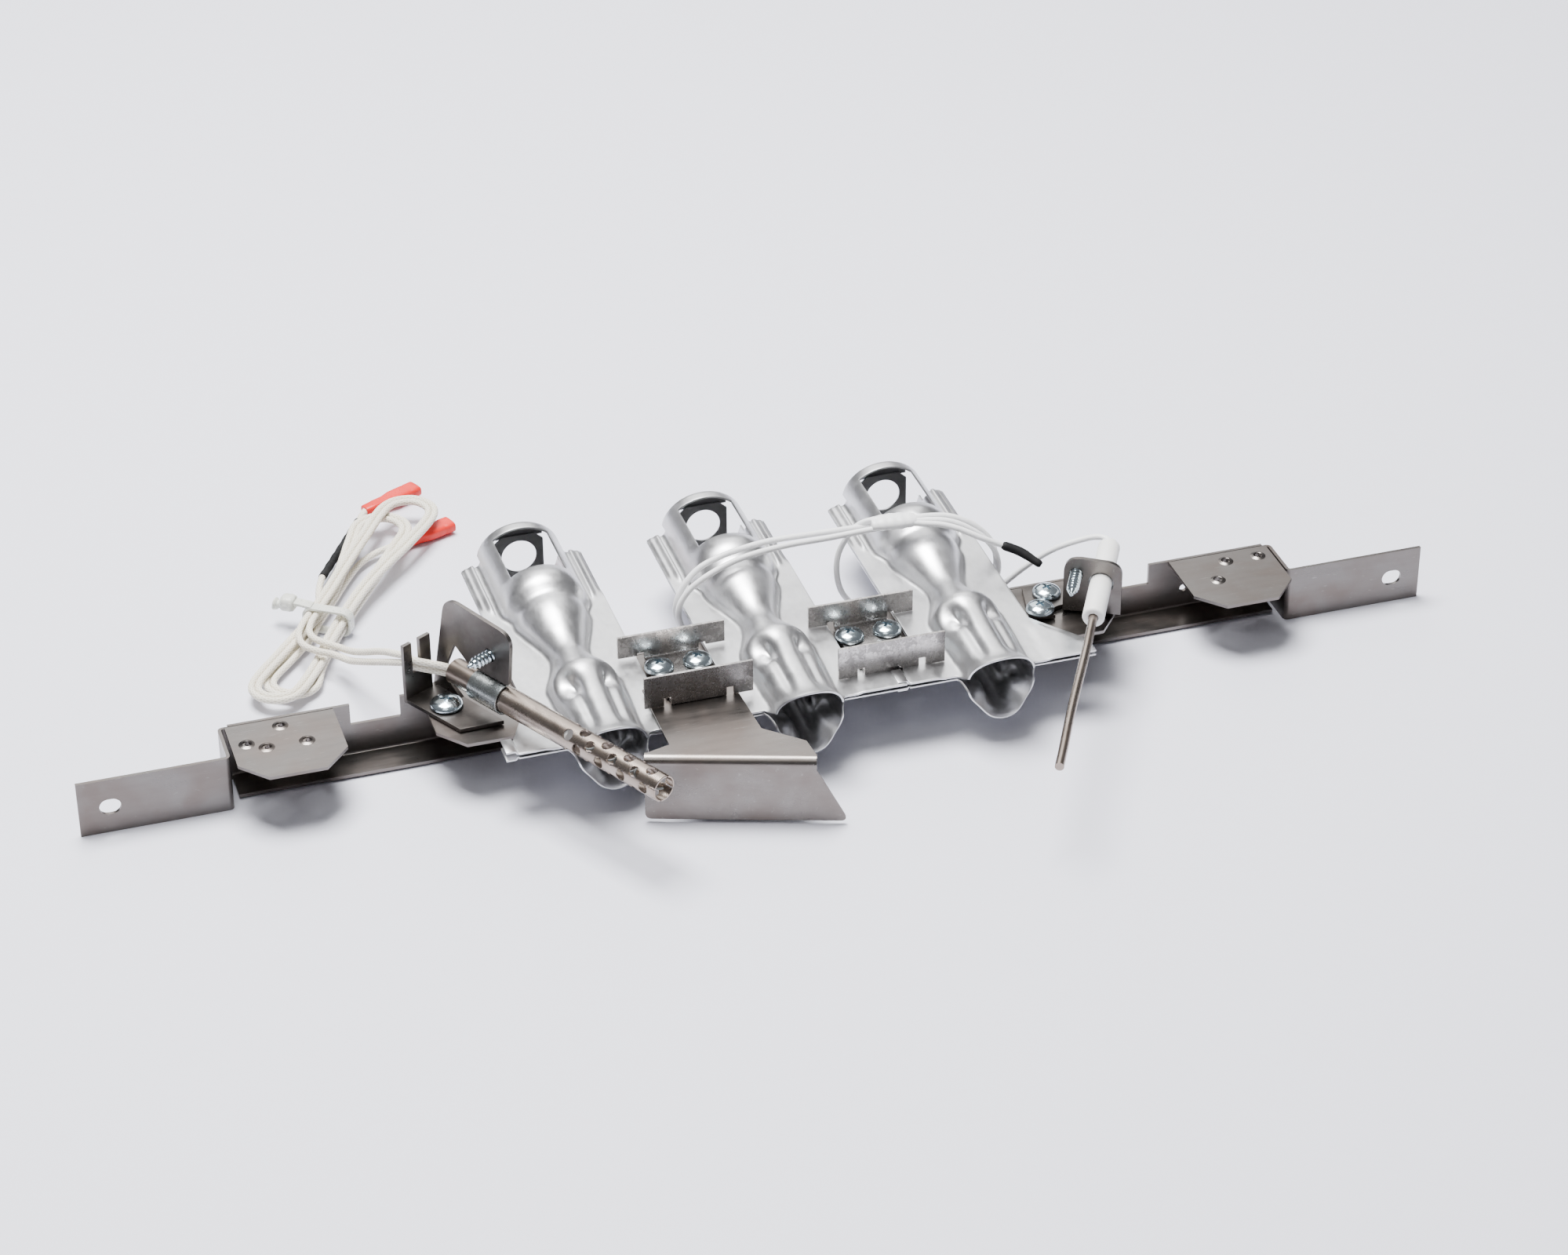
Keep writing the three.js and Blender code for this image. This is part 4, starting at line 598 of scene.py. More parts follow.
# ---------------------------------------------------------------- studio
@dataclass
class Studio:
    """Camera, pale floor and soft lights."""

    azimuth: float = -17.246
    elevation: float = 32.905
    roll: float = -0.36
    lens: float = 93.45
    stand: tuple = (-351.8, -1159.9, 786.5)
    floor_half: float = 4.0
    floor_tone: tuple = (0.76, 0.765, 0.85)
    sky: float = 0.24
    lamps: tuple = (
        ("top_box", (-0.2, 0.38, 1.65), (0.0, 0.03, 0.0), 0.9, 100.0),
        ("front_box", (-0.5, -0.7, 1.5), (0.0, 0.0, 0.0), 0.7, 4.0),
        ("back_box", (0.4, 2.0, 1.4), (0.0, 0.0, 0.0), 1.5, 18.0))

    def camera(self) -> None:
        """Sets the camera up."""
        a, e, r = (math.radians(v) for v in (self.azimuth, self.elevation, self.roll))
        back = Vector((math.sin(a) * math.cos(e), -math.cos(a) * math.cos(e), math.sin(e)))
        right = Vector((math.cos(a), math.sin(a), 0))
        right = right * math.cos(r) + back.cross(right) * math.sin(r)
        up = back.cross(right)
        data = bpy.data.cameras.new("camera")
        data.lens = self.lens
        data.sensor_width = 36.0
        data.sensor_fit = "HORIZONTAL"
        data.clip_start = 0.05
        camera = bpy.data.objects.new("camera", data)
        camera.matrix_world = Matrix.Translation(row(self.stand)) @ Matrix((right, up, back)).transposed().to_4x4()
        bpy.context.scene.collection.objects.link(camera)
        bpy.context.scene.camera = camera

    def floor(self) -> None:
        """Lays the floor."""
        mesh = bmesh.new()
        half = self.floor_half
        add_grid(mesh, [[(x, y, 0) for x in (-half, half)] for y in (-half, half)])
        data = bpy.data.meshes.new("floor")
        mesh.to_mesh(data)
        mesh.free()
        piece = bpy.data.objects.new("floor", data)
        bpy.context.scene.collection.objects.link(piece)
        finish = mottled("floor", self.floor_tone, tuple(v * 0.99 for v in self.floor_tone), 0.55, 0.65)
        data.materials.append(finish.material("floor_paper"))

    def lights(self) -> None:
        """Hangs the soft boxes and sets the pale sky."""
        for name, at, aim, size, power in self.lamps:
            data = bpy.data.lights.new(name, "AREA")
            data.size = size
            data.energy = power
            lamp = bpy.data.objects.new(name, data)
            turn = (Vector(aim) - Vector(at)).to_track_quat("-Z", "Y").to_matrix().to_4x4()
            lamp.matrix_world = Matrix.Translation(at) @ turn
            bpy.context.scene.collection.objects.link(lamp)
        world = bpy.data.worlds.new("pale_sky")
        world.use_nodes = True
        desk = Desk(world.node_tree)
        height = desk.add("ShaderNodeSeparateXYZ", {0: desk.add("ShaderNodeTexCoord").outputs["Generated"]}).outputs[2]
        tone = desk.blend(desk.span(height, 0.0, 1.0, -0.1, 0.5), colour(0.35, 0.35, 0.38), colour(1.0, 1.0, 1.03))
        ground = world.node_tree.nodes["Background"]
        world.node_tree.links.new(tone, ground.inputs["Color"])
        ground.inputs["Strength"].default_value = self.sky
        bpy.context.scene.world = world

    def build(self) -> None:
        """Builds the whole studio."""
        self.camera()
        self.floor()
        self.lights()


# ---------------------------------------------------------------- rail
@dataclass
class Rail:
    """The support rail and the pierced rims of its flap holes."""

    rim: float = 2.15
    bore: float = 1.55
    rise: float = 0.5
    flap_holes: tuple = ((-174.6, -5.0), (-187.8, -12.8), (-181.6, -16.6), (-167.6, -16.6),
                         (175.1, -6.1), (187.7, -6.2), (167.5, -17.1))

    def build(self) -> None:
        """Builds the rail and its rims."""
        folded_piece("support_rail", Stuff.RAIL_STEEL, 0.18)
        mesh = bmesh.new()
        for x, y in self.flap_holes:
            profile = [(self.bore, -0.9), (self.bore, self.rise - 0.15), (self.bore + 0.2, self.rise),
                       (self.rim - 0.25, self.rise - 0.1), (self.rim + 0.7, 0.02), (self.rim + 0.7, -0.3)]
            add_lathe(mesh, profile, 28, Matrix.Translation((x, y, 0)))
        for face in [f for f in mesh.faces if len(f.verts) > 4]:
            mesh.faces.remove(face)
        finish_piece("rail_hole_rims", mesh, Stuff.RAIL_STEEL)


# ---------------------------------------------------------------- burners
@dataclass
class Burner:
    """One burner: an upper and a lower pressed shell and the plate at its inlet."""

    number: int
    x: float
    reach_left: float = PITCH / 2 - 3.4
    reach_right: float = PITCH / 2 + 2.4
    wing: float = 22.5
    window: float = 10.4
    window_ends: tuple = (43.5, 70.5)
    fillet: float = 2.0
    tab: float = 4.2
    bulge: float = 4.0
    wing_turn: float = -23.0
    wing_end: float = -42.0
    plate_half: float = 9.2
    orifice: float = 6.5
    orifice_rise: float = 0.8
    # y, half-width, height over and depth under the parting plane
    body: tuple = (
        (75, 15.5, 14.1, 14.9), (70.5, 15.5, 14.3, 14.9), (50, 15.5, 14.6, 15.4), (44, 15.5, 14.5, 15.5),
        (40, 15.6, 15.6, 15.6), (36.5, 15.6, 16.1, 15.6), (33, 15.3, 15.4, 15.3), (30.2, 14.0, 13.7, 13.9),
        (28.2, 13.1, 12.6, 12.9), (26, 13.0, 12.6, 12.8), (23, 12.8, 12.7, 12.8), (18, 11.4, 11.7, 11.6),
        (12, 9.3, 9.7, 9.6), (6, 7.3, 7.9, 7.9), (1, 6.5, 7.2, 7.2), (-4, 7.3, 8.0, 8.0),
        (-10, 9.6, 9.8, 10.0), (-17, 12.3, 12.2, 12.3), (-23, 12.4, 11.4, 12.4), (-31, 12.2, 10.9, 12.4),
        (-40, 11.8, 10.3, 12.3), (-51, 11.5, 10.0, 12.1), (-56, 12.1, 11.0, 13.0))

    def section(self, y: float) -> tuple:
        """Half-width, height over and depth under at a place along the burner."""
        keys = self.body
        i = next((k for k in range(len(keys) - 1) if y >= keys[k + 1][0]), len(keys) - 2)
        slopes = []
        for k in (i, i + 1):
            a, b = keys[max(k - 1, 0)], keys[min(k + 1, len(keys) - 1)]
            slopes.append([(b[n] - a[n]) / (b[0] - a[0]) for n in (1, 2, 3)])
        y0, y1 = keys[i][0], keys[i + 1][0]
        t = (y - y0) / (y1 - y0)
        h = y1 - y0
        return tuple((2 * t ** 3 - 3 * t ** 2 + 1) * keys[i][n] + (t ** 3 - 2 * t ** 2 + t) * h * slopes[0][n - 1]
                     + (3 * t ** 2 - 2 * t ** 3) * keys[i + 1][n] + (t ** 3 - t ** 2) * h * slopes[1][n - 1]
                     for n in (1, 2, 3))

    @staticmethod
    def dent(turn: float, y: float, side: int) -> float:
        """The share of the radius taken away by the dimples, the grooves and the lower shell's mouth lobes."""
        deg = math.degrees(turn)
        grooves = (bell(deg, 118, 11) + bell(deg, 62, 11)) * ease(y, -24, -32) * ease(y, -54, -47)
        lobes = (bell(deg, 138, 20) + bell(deg, 42, 20)) * bell(y, -48, 6.5)
        return (0.40 * bell(deg, 130, 19) * bell(y, -25.5, 5.2) + 0.30 * bell(deg, 52, 13) * bell(y, -25.5, 4.0)
                + 0.13 * grooves + (0.36 * lobes if side < 0 else 0.0))

    def wing_y(self, y: float) -> float:
        """Where a row lies along the wings, which end behind the mouth."""
        end = self.wing_end
        return y if y > end else end + (y - end) * 0.6

    def wing_reach(self, y: float, reach: float) -> float:
        """How far a wing reaches sideways."""
        turn, end = self.wing_turn, self.wing_end
        if y > turn:
            return self.wing
        return reach if y < end else self.wing + (reach - self.wing) * (turn - y) / (turn - end)

    def wing_lift(self, x: float, y: float, side: int) -> float:
        """The beads beside the tunnel, the rolled outer lip, and the line pressed along the front of the wing."""
        bead = 0.9 * bell(abs(x), 18.5, 1.2) * ease(y, 36, 42)
        lip = -0.8 * ease(abs(x), 20.9, 22.5) * ease(y, 38, 46)
        off = (self.wing_turn - (abs(x) - self.wing) * 1.275 - y) * 0.617
        line = 0.45 * ease(off, 1.4, 2.3) * ease(abs(x), 19.0, 21.5) * ease(y, -24, -30)
        return (bead + lip + line) if side > 0 else 0.35 * bead

    def rows(self) -> list:
        """The places along the burner where the shell is drawn."""
        front = [43.5 - 99.5 * i / 72 for i in range(1, 73)]
        return [75, 73.5, 72] + [70.5 - 1.5 * i for i in range(19)] + front

    def ring(self, y: float, side: int) -> list:
        """One row of the shell's outer face, from the right wing to the left.

        Args:
            y: the place along the burner.
            side: 1 for the upper shell, -1 for the lower.

        Returns:
            The row's points, in the burner's own frame.
        """
        half, over, under = self.section(y)
        rise = over if side > 0 else under
        flare = ease(y, -51.5, -56)
        half, rise = half + 0.5 * flare, rise + 0.4 * flare
        base = GAP / 2 + SHEET
        back = self.wing_y(y)
        bulge = self.bulge * ease(y, -45, -56)
        points = []
        start = math.asin(self.fillet / rise)
        for s, reach in ((1, self.reach_right), (-1, self.reach_left)):
            end = self.wing_reach(back, reach)
            inner = half + self.fillet
            wing = [s * (inner + (end - inner) * (1 - k / 14)) for k in range(14)]
            flat = [(x, back, base + self.wing_lift(x, back, side)) for x in wing]
            turned = []
            for k in range(6):
                a = math.radians(-90 - 90 * k / 6)
                share = k / 6
                turned.append((s * (inner + self.fillet * math.cos(a)), back + (y - back) * share,
                               base + self.fillet * (1 + math.sin(a))))
            points.append(flat + turned)
        corner = math.acos(self.window / 15.5)
        turns = self.arc_turns(start, corner)
        arc = []
        for turn in turns:
            keep = 1 - self.dent(turn, y, side)
            arc.append((math.cos(turn) * half * keep, y - bulge * math.sin(turn) ** 2,
                        base + (math.sin(turn) * rise * keep - SHEET * math.sin(turn))))
        return [(x, v, side * z) for x, v, z in points[0] + arc + points[1][::-1]]

    def arc_turns(self, start: float, corner: float) -> list:
        """The angles of the body's arc, with one at each edge of the window."""
        low = [start + (corner - start) * i / 9 for i in range(9)]
        top = [corner + (math.pi - 2 * corner) * i / 34 for i in range(34)]
        return low + top + [math.pi - corner] + [math.pi - t for t in low[::-1]]

    def shell(self, side: int) -> Piece:
        """Builds one shell, with its air window and its tab.

        Args:
            side: 1 for the upper shell, -1 for the lower.

        Returns:
            The shell.
        """
        mesh = bmesh.new()
        places = self.rows()
        rows = [self.ring(y, side) for y in places]
        first, last = 20 + 9, 20 + 9 + 34

        def keep(r: int, c: int) -> bool:
            """Leaves out the air window and the wings beside the last strap."""
            if places[r] > self.window_ends[1]:
                return 20 <= c < len(rows[0]) - 21
            inside = self.window_ends[0] < places[r] <= self.window_ends[1] and places[r + 1] >= self.window_ends[0]
            return not (side > 0 and inside and first <= c < last)

        add_grid(mesh, rows, keep=keep)
        reach = -self.reach_left
        lift = SHEET + 0.3
        base = GAP / 2 + SHEET
        tab = [(reach + 0.6, base), (reach - 0.1, base + 0.1), (reach - 0.7, base + lift),
               (reach - self.tab, base + lift)]
        add_grid(mesh, [[(x, y, side * z) for x, z in tab] for y in (-41.5, -45.5, -49.6)])
        loose = [v for v in mesh.verts if not v.link_faces]
        bmesh.ops.delete(mesh, geom=loose, context="VERTS")
        kind = "upper" if side > 0 else "lower"
        node = f"burner_{self.number}_{kind}_shell"
        piece = finish_piece(f"burner_{self.number}_{kind}_pressing", mesh, Stuff.ALUMINISED, [node],
                             Matrix.Translation((self.x, 0, PARTING_Z)), sharp=60.0)
        if (piece.data.polygons[40].normal.z > 0) != (side > 0):
            piece.data.flip_normals()
        sheet = piece.modifiers.new("sheet", "SOLIDIFY")
        sheet.thickness = SHEET * MM
        sheet.offset = -1.0
        break_edges(piece, 0.12, 60.0, False)
        return piece

    def inlet_plate(self) -> None:
        """Builds the plates that close the inlet round the orifice hole."""
        half = self.plate_half
        ring = [(self.orifice * math.cos(a), self.orifice_rise + self.orifice * math.sin(a))
                for a in (math.tau * k / 48 for k in range(48))]
        mesh = bmesh.new()
        add_plate(mesh, [(-half, -11.8), (-4, -14.3), (4, -14.3), (half, -11.8), (half, 7), (half - 3, 9.6),
                         (3 - half, 9.6), (-half, 7)], ring, 73.3, 74.0)
        add_plate(mesh, [(-half, 8.4), (half, 8.4), (half, 10.7), (4, 13.5), (-4, 13.5), (-half, 10.7)], [], 74.3, 75.0)
        # The inlet plate gets the darkened copy of the burner steel: painted shade inside the tunnel.
        piece = finish_piece(f"burner_{self.number}_inlet_plate", mesh, Stuff.INLET_STEEL,
                             place=Matrix.Translation((self.x, 0, PARTING_Z)), sharp=30.0)
        break_edges(piece, 0.1)

    def build(self) -> None:
        """Builds both shells and the inlet plate."""
        self.shell(1)
        self.shell(-1)
        self.inlet_plate()


# ---------------------------------------------------------------- screws
@dataclass
class Screw:
    """A zinc-plated screw with a domed head and a cross recess."""

    name: str
    node: str
    place: Matrix
    head: float = 10.4
    height: float = 3.0
    shank: float = 4.6
    length: float = 10.0
    thread: float = 1.6

    def head_profile(self) -> list:
        """The head's outline from its rim to its top."""
        r = self.head / 2
        rise = [(r * math.cos(a), 0.55 + (self.height - 0.55) * math.sin(a))
                for a in (math.pi / 2 * k / 9 for k in range(10))]
        return [(self.shank / 2, 0.0), (r - 0.2, 0.0), (r, 0.18)] + rise[:-1] + [(0.0, self.height)]

    def threads(self, mesh: Mesh) -> None:
        """Adds the threaded shank down to its point."""
        sides = 24
        count = int(self.length / self.thread * 12)
        rows = []
        for i in range(count + 1):
            z = -self.length * i / count
            taper = 0.35 + 0.65 * ease(z, -self.length, -self.length * 0.72)
            ring = []
            for k in range(sides):
                share = (z / self.thread - k / sides) % 1.0
                ridge = max(0.0, 1 - abs(share - 0.5) * 5)
                r = (self.shank / 2 - 0.75 + 0.75 * ridge) * taper
                ring.append((r * math.cos(math.tau * k / sides), r * math.sin(math.tau * k / sides), z))
            rows.append(ring)
        add_grid(mesh, rows, closed=True, capped=True)

    def build(self) -> None:
        """Builds the screw with its recess."""
        mesh = bmesh.new()
        add_lathe(mesh, self.head_profile(), 48)
        piece = finish_piece(self.name, mesh, Stuff.ZINC, [self.node], self.place, sharp=50.0)
        cutter = bmesh.new()
        arm = self.head * 0.22
        spin = Matrix.Rotation(math.pi / 4, 4, "Z")
        rings = []
        for reach, half, z in ((arm * 0.45, 0.36, self.height - 1.9), (arm, 0.62, self.height + 0.6)):
            quarter = ((reach, -half), (reach, half), (half, half))
            rings.append([spin @ Matrix.Rotation(math.pi / 2 * k, 4, "Z") @ Vector((x, y, z))
                          for k in range(4) for x, y in quarter])
        add_grid(cutter, rings, closed=True, capped=True)
        cutter.transform(TO_ROW @ self.place)
        cut_with(piece, cutter)
        shank = bmesh.new()
        self.threads(shank)
        finish_piece(f"{self.name}_thread", shank, Stuff.ZINC, place=self.place, sharp=60.0)


# ---------------------------------------------------------------- joints
@dataclass
class Joints:
    """The brackets over the burners' joints, their screws, and the deflector."""

    spacing: float = 14.0
    screw_y: float = -14.4
    stack: tuple = (1.1, 0.0)

    def build(self) -> None:
        """Builds both joints."""
        folded_piece("deflector", Stuff.STAINLESS, 0.14)
        for i, x in enumerate(JOINTS_X):
            folded_piece(f"joint_bracket_{i + 1}", Stuff.GALVANISED, 0.14)
            for k, s in enumerate((-1, 1)):
                number = 2 * i + k + 1
                spot = Matrix.Translation((x + s * self.spacing / 2, self.screw_y, self.stack[i] + 1.6))
                Screw(f"joint_screw_{number}_zinc", f"joint_screw_{number}", spot).build()


# ---------------------------------------------------------------- igniter
@dataclass
class Igniter:
    """The igniter's bracket, clamp, tube and core."""

    axis_u: float = 14.0
    axis_z: float = 11.9
    radius: float = 4.75
    wall: float = 0.6
    rear: float = -11.0
    length: float = 102.5
    ports: float = 4.2
    port_pitch: float = 10.6
    wall_u: float = 13.6
    clamp_w: tuple = (-37.0, -22.6)
    clamp_screw: tuple = (-29.5, 26.6)

    def clamp(self) -> None:
        """Builds the strap: once round the tube and up behind the wall with an S-shaped edge."""
        mesh = bmesh.new()
        r = self.radius + 0.6
        ear = self.wall_u + 1.5 + 0.3 + 0.5
        path = []
        for k in range(33):
            a = math.radians(100 - 290 * k / 32)
            path.append(Vector((self.axis_u + r * math.cos(a) * -1, 0, self.axis_z + r * math.sin(a))))
        path = path[::-1]
        path += [Vector((ear - 0.3, 0, self.axis_z + 9.5)), Vector((ear, 0, self.axis_z + 12.0)),
                 Vector((ear, 0, 34.8))]
        mid = sum(self.clamp_w) / 2
        half = (self.clamp_w[1] - self.clamp_w[0]) / 2
        add_ribbon(mesh, [p + Vector((0, mid, 0)) for p in smooth_path(path, 1.0)], Vector((0, half, 0)), 0.6)
        piece = finish_piece("igniter_clamp_strap", mesh, Stuff.CLAMP_ZINC, ["igniter_clamp"], IGNITER_FRAME,
                             sharp=50.0)
        break_edges(piece, 0.1, 50.0)

    def tube(self) -> None:
        """Builds the tube with its rows of ports and the slits at its end."""
        mesh = bmesh.new()
        front = self.rear - self.length
        place = Matrix.Translation((self.axis_u, self.rear, self.axis_z)) @ ABOUT_X
        inner = self.radius - self.wall
        profile = [(inner, 0.0), (inner + 0.15, 0.0), (self.radius - 0.15, 0.0), (self.radius, 0.15)]
        profile += [(self.radius, self.length * k / 40) for k in range(1, 40)]
        profile += [(self.radius, self.length - 0.15), (self.radius - 0.15, self.length), (inner, self.length),
                    (inner, 0.0)]
        add_lathe(mesh, profile, 96, place)
        piece = finish_piece("igniter_tube_perforated", mesh, Stuff.TUBE_STEEL, ["igniter_tube"], IGNITER_FRAME)
        cutter = bmesh.new()
        for line in range(8):
            turn = Matrix.Rotation(math.tau * line / 8, 4, "Y")
            for i in range(4):
                y = front + 5.5 + self.port_pitch * (i + (0.5 if line % 2 else 0.0))
                spot = Matrix.Translation((self.axis_u, y, self.axis_z)) @ turn
                add_lathe(cutter, [(0.0, 2.8), (self.ports / 2, 2.8), (self.ports / 2, 7.0), (0.0, 7.0)], 16, spot)
        tip = Matrix.Translation((self.axis_u, front, self.axis_z))
        for line in range(4):
            spin = tip @ Matrix.Rotation(math.tau * (line + 0.25) / 4, 4, "Y")
            rings = [[spin @ Vector((x, y, z)) for x, z in ((-0.35, 2.8), (0.35, 2.8), (0.35, 7.0), (-0.35, 7.0))]
                     for y in (-1.0, 3.2)]
            add_grid(cutter, rings, closed=True, capped=True)
        cutter.transform(TO_ROW @ IGNITER_FRAME)
        cut_with(piece, cutter)
        piece.data.shade_flat()

    def core(self) -> None:
        """Builds the ceramic insulator and the ribbed element inside the tube."""
        mesh = bmesh.new()
        start = self.rear - 1.6
        place = Matrix.Translation((self.axis_u, start, self.axis_z)) @ ABOUT_X
        add_lathe(mesh, [(0.0, 0.0), (3.4, 0.0), (3.85, 0.5), (3.85, 56.5), (3.4, 57.0), (0.0, 57.0)], 40, place)
        finish_piece("igniter_insulator_ceramic", mesh, Stuff.CERAMIC, ["igniter_insulator"], IGNITER_FRAME)
        mesh = bmesh.new()
        path = []
        for k in range(160):
            y = start - 57.3 - (self.length - 60.1) * k / 159
            a = math.tau * k / 18
            path.append(Vector((self.axis_u + 1.45 * math.cos(a), y, self.axis_z + 0.75 * math.sin(a))))
        add_tube(mesh, path, 0.34, 8)
        finish_piece("igniter_element_winding", mesh, Stuff.ELEMENT, ["igniter_element"], IGNITER_FRAME)

    def build(self) -> None:
        """Builds the igniter group."""
        folded_piece("igniter_bracket", Stuff.BRACKET_STEEL, 0.22)
        seat = IGNITER_FRAME @ Matrix.Translation((7, -13.4, 2.1))
        Screw("igniter_bracket_screw_zinc", "igniter_bracket_screw", seat, head=11.6).build()
        self.clamp()
        w, z = self.clamp_screw
        side = IGNITER_FRAME @ Matrix.Translation((self.wall_u + 1.5 + 1.8, w, z)) @ ABOUT_Y
        Screw("igniter_clamp_screw_zinc", "igniter_clamp_screw", side, 9.5, 2.6, 4.6, 13.0).build()
        self.tube()
        self.core()


# ---------------------------------------------------------------- flame sensor
@dataclass
class Sensor:
    """The flame sensor's bracket, clamp, ceramic and rod."""

    axis_u: float = 13.4
    axis_z: float = 13.6
    ceramic: float = 3.95
    ceramic_rear: float = 25.6
    ceramic_length: float = 48.6
    rod: float = 1.6
    reach: float = 92.6
    screws: tuple = ((-6.8, -8.4), (-7.6, 3.0))
    clamp_screw: tuple = (4.4, 16.4)

    def insulator(self) -> None:
        """Builds the ceramic body."""
        mesh = bmesh.new()
        r, n = self.ceramic, self.ceramic_length
        place = Matrix.Translation((self.axis_u, self.ceramic_rear, self.axis_z)) @ ABOUT_X
        add_lathe(mesh, [(0.0, 7.0), (1.7, 7.0), (1.7, 0.4), (2.1, 0.0), (r - 0.8, 0.0), (r - 0.25, 0.25), (r, 0.8),
                         (r, n * 0.3), (r, n * 0.6), (r, n - 0.8), (r - 0.25, n - 0.25), (r - 0.8, n), (1.9, n),
                         (1.9, n - 1.0), (0.0, n - 1.0)], 56, place)
        finish_piece("sensor_insulator_ceramic", mesh, Stuff.CERAMIC, ["sensor_insulator"], SENSOR_FRAME, sharp=50.0)

    def rod_piece(self) -> None:
        """Builds the rod, very slightly bent, with a rounded tip."""
        mesh = bmesh.new()
        y0 = self.ceramic_rear - self.ceramic_length + 20
        y1 = self.ceramic_rear - self.ceramic_length - self.reach
        path = []
        for k in range(61):
            t = k / 60
            y = y0 + (y1 - y0) * t
            sway = 0.28 * math.sin(t * 7.0) * ease(t, 0.2, 0.45) * ease(t, 1.0, 0.85)
            path.append(Vector((self.axis_u + sway, y, self.axis_z + 0.2 * math.sin(t * 9.0) * ease(t, 0.2, 0.5))))
        path.append(path[-1] - Vector((0, 0.001, 0)))
        add_tube(mesh, path, lambda t: self.rod * (1 - 0.35 * ease(t, 0.992, 1.0)), 24)
        finish_piece("sensor_rod_steel", mesh, Stuff.TUBE_STEEL, ["sensor_rod"], SENSOR_FRAME, sharp=50.0)

    def build(self) -> None:
        """Builds the sensor group."""
        folded_piece("sensor_bracket", Stuff.BRACKET_STEEL, 0.3)
        folded_piece("sensor_clamp", Stuff.CLAMP_ZINC, 0.12)
        for i, (u, w) in enumerate(self.screws):
            seat = SENSOR_FRAME @ Matrix.Translation((u, -w, 2.1))
            Screw(f"sensor_bracket_screw_{i + 1}_zinc", f"sensor_bracket_screw_{i + 1}", seat).build()
        u, z = self.clamp_screw
        seat = SENSOR_FRAME @ Matrix.Translation((u, 1.5 + 1.2 + 0.6, z)) @ Matrix.Rotation(-math.pi / 2, 4, "X")
        Screw("sensor_clamp_screw_zinc", "sensor_clamp_screw", seat, 8.4, 2.6, 4.6, 17.0).build()
        self.insulator()
        self.rod_piece()


# ---------------------------------------------------------------- leads
def rounded_rings(places: Sequence[tuple], power: float = 4.0, count: int = 28) -> list:
    """Rings of rounded rectangles along X: each place is (x, width, height)."""
    rings = []
    for x, width, height in places:
        ring = []
        for k in range(count):
            a = math.tau * k / count
            c, s = math.cos(a), math.sin(a)
            size = (abs(c) ** power + abs(s) ** power) ** (-1 / power)
            ring.append((x, width / 2 * size * c, height / 2 * size * s))
        rings.append(ring)
    return rings


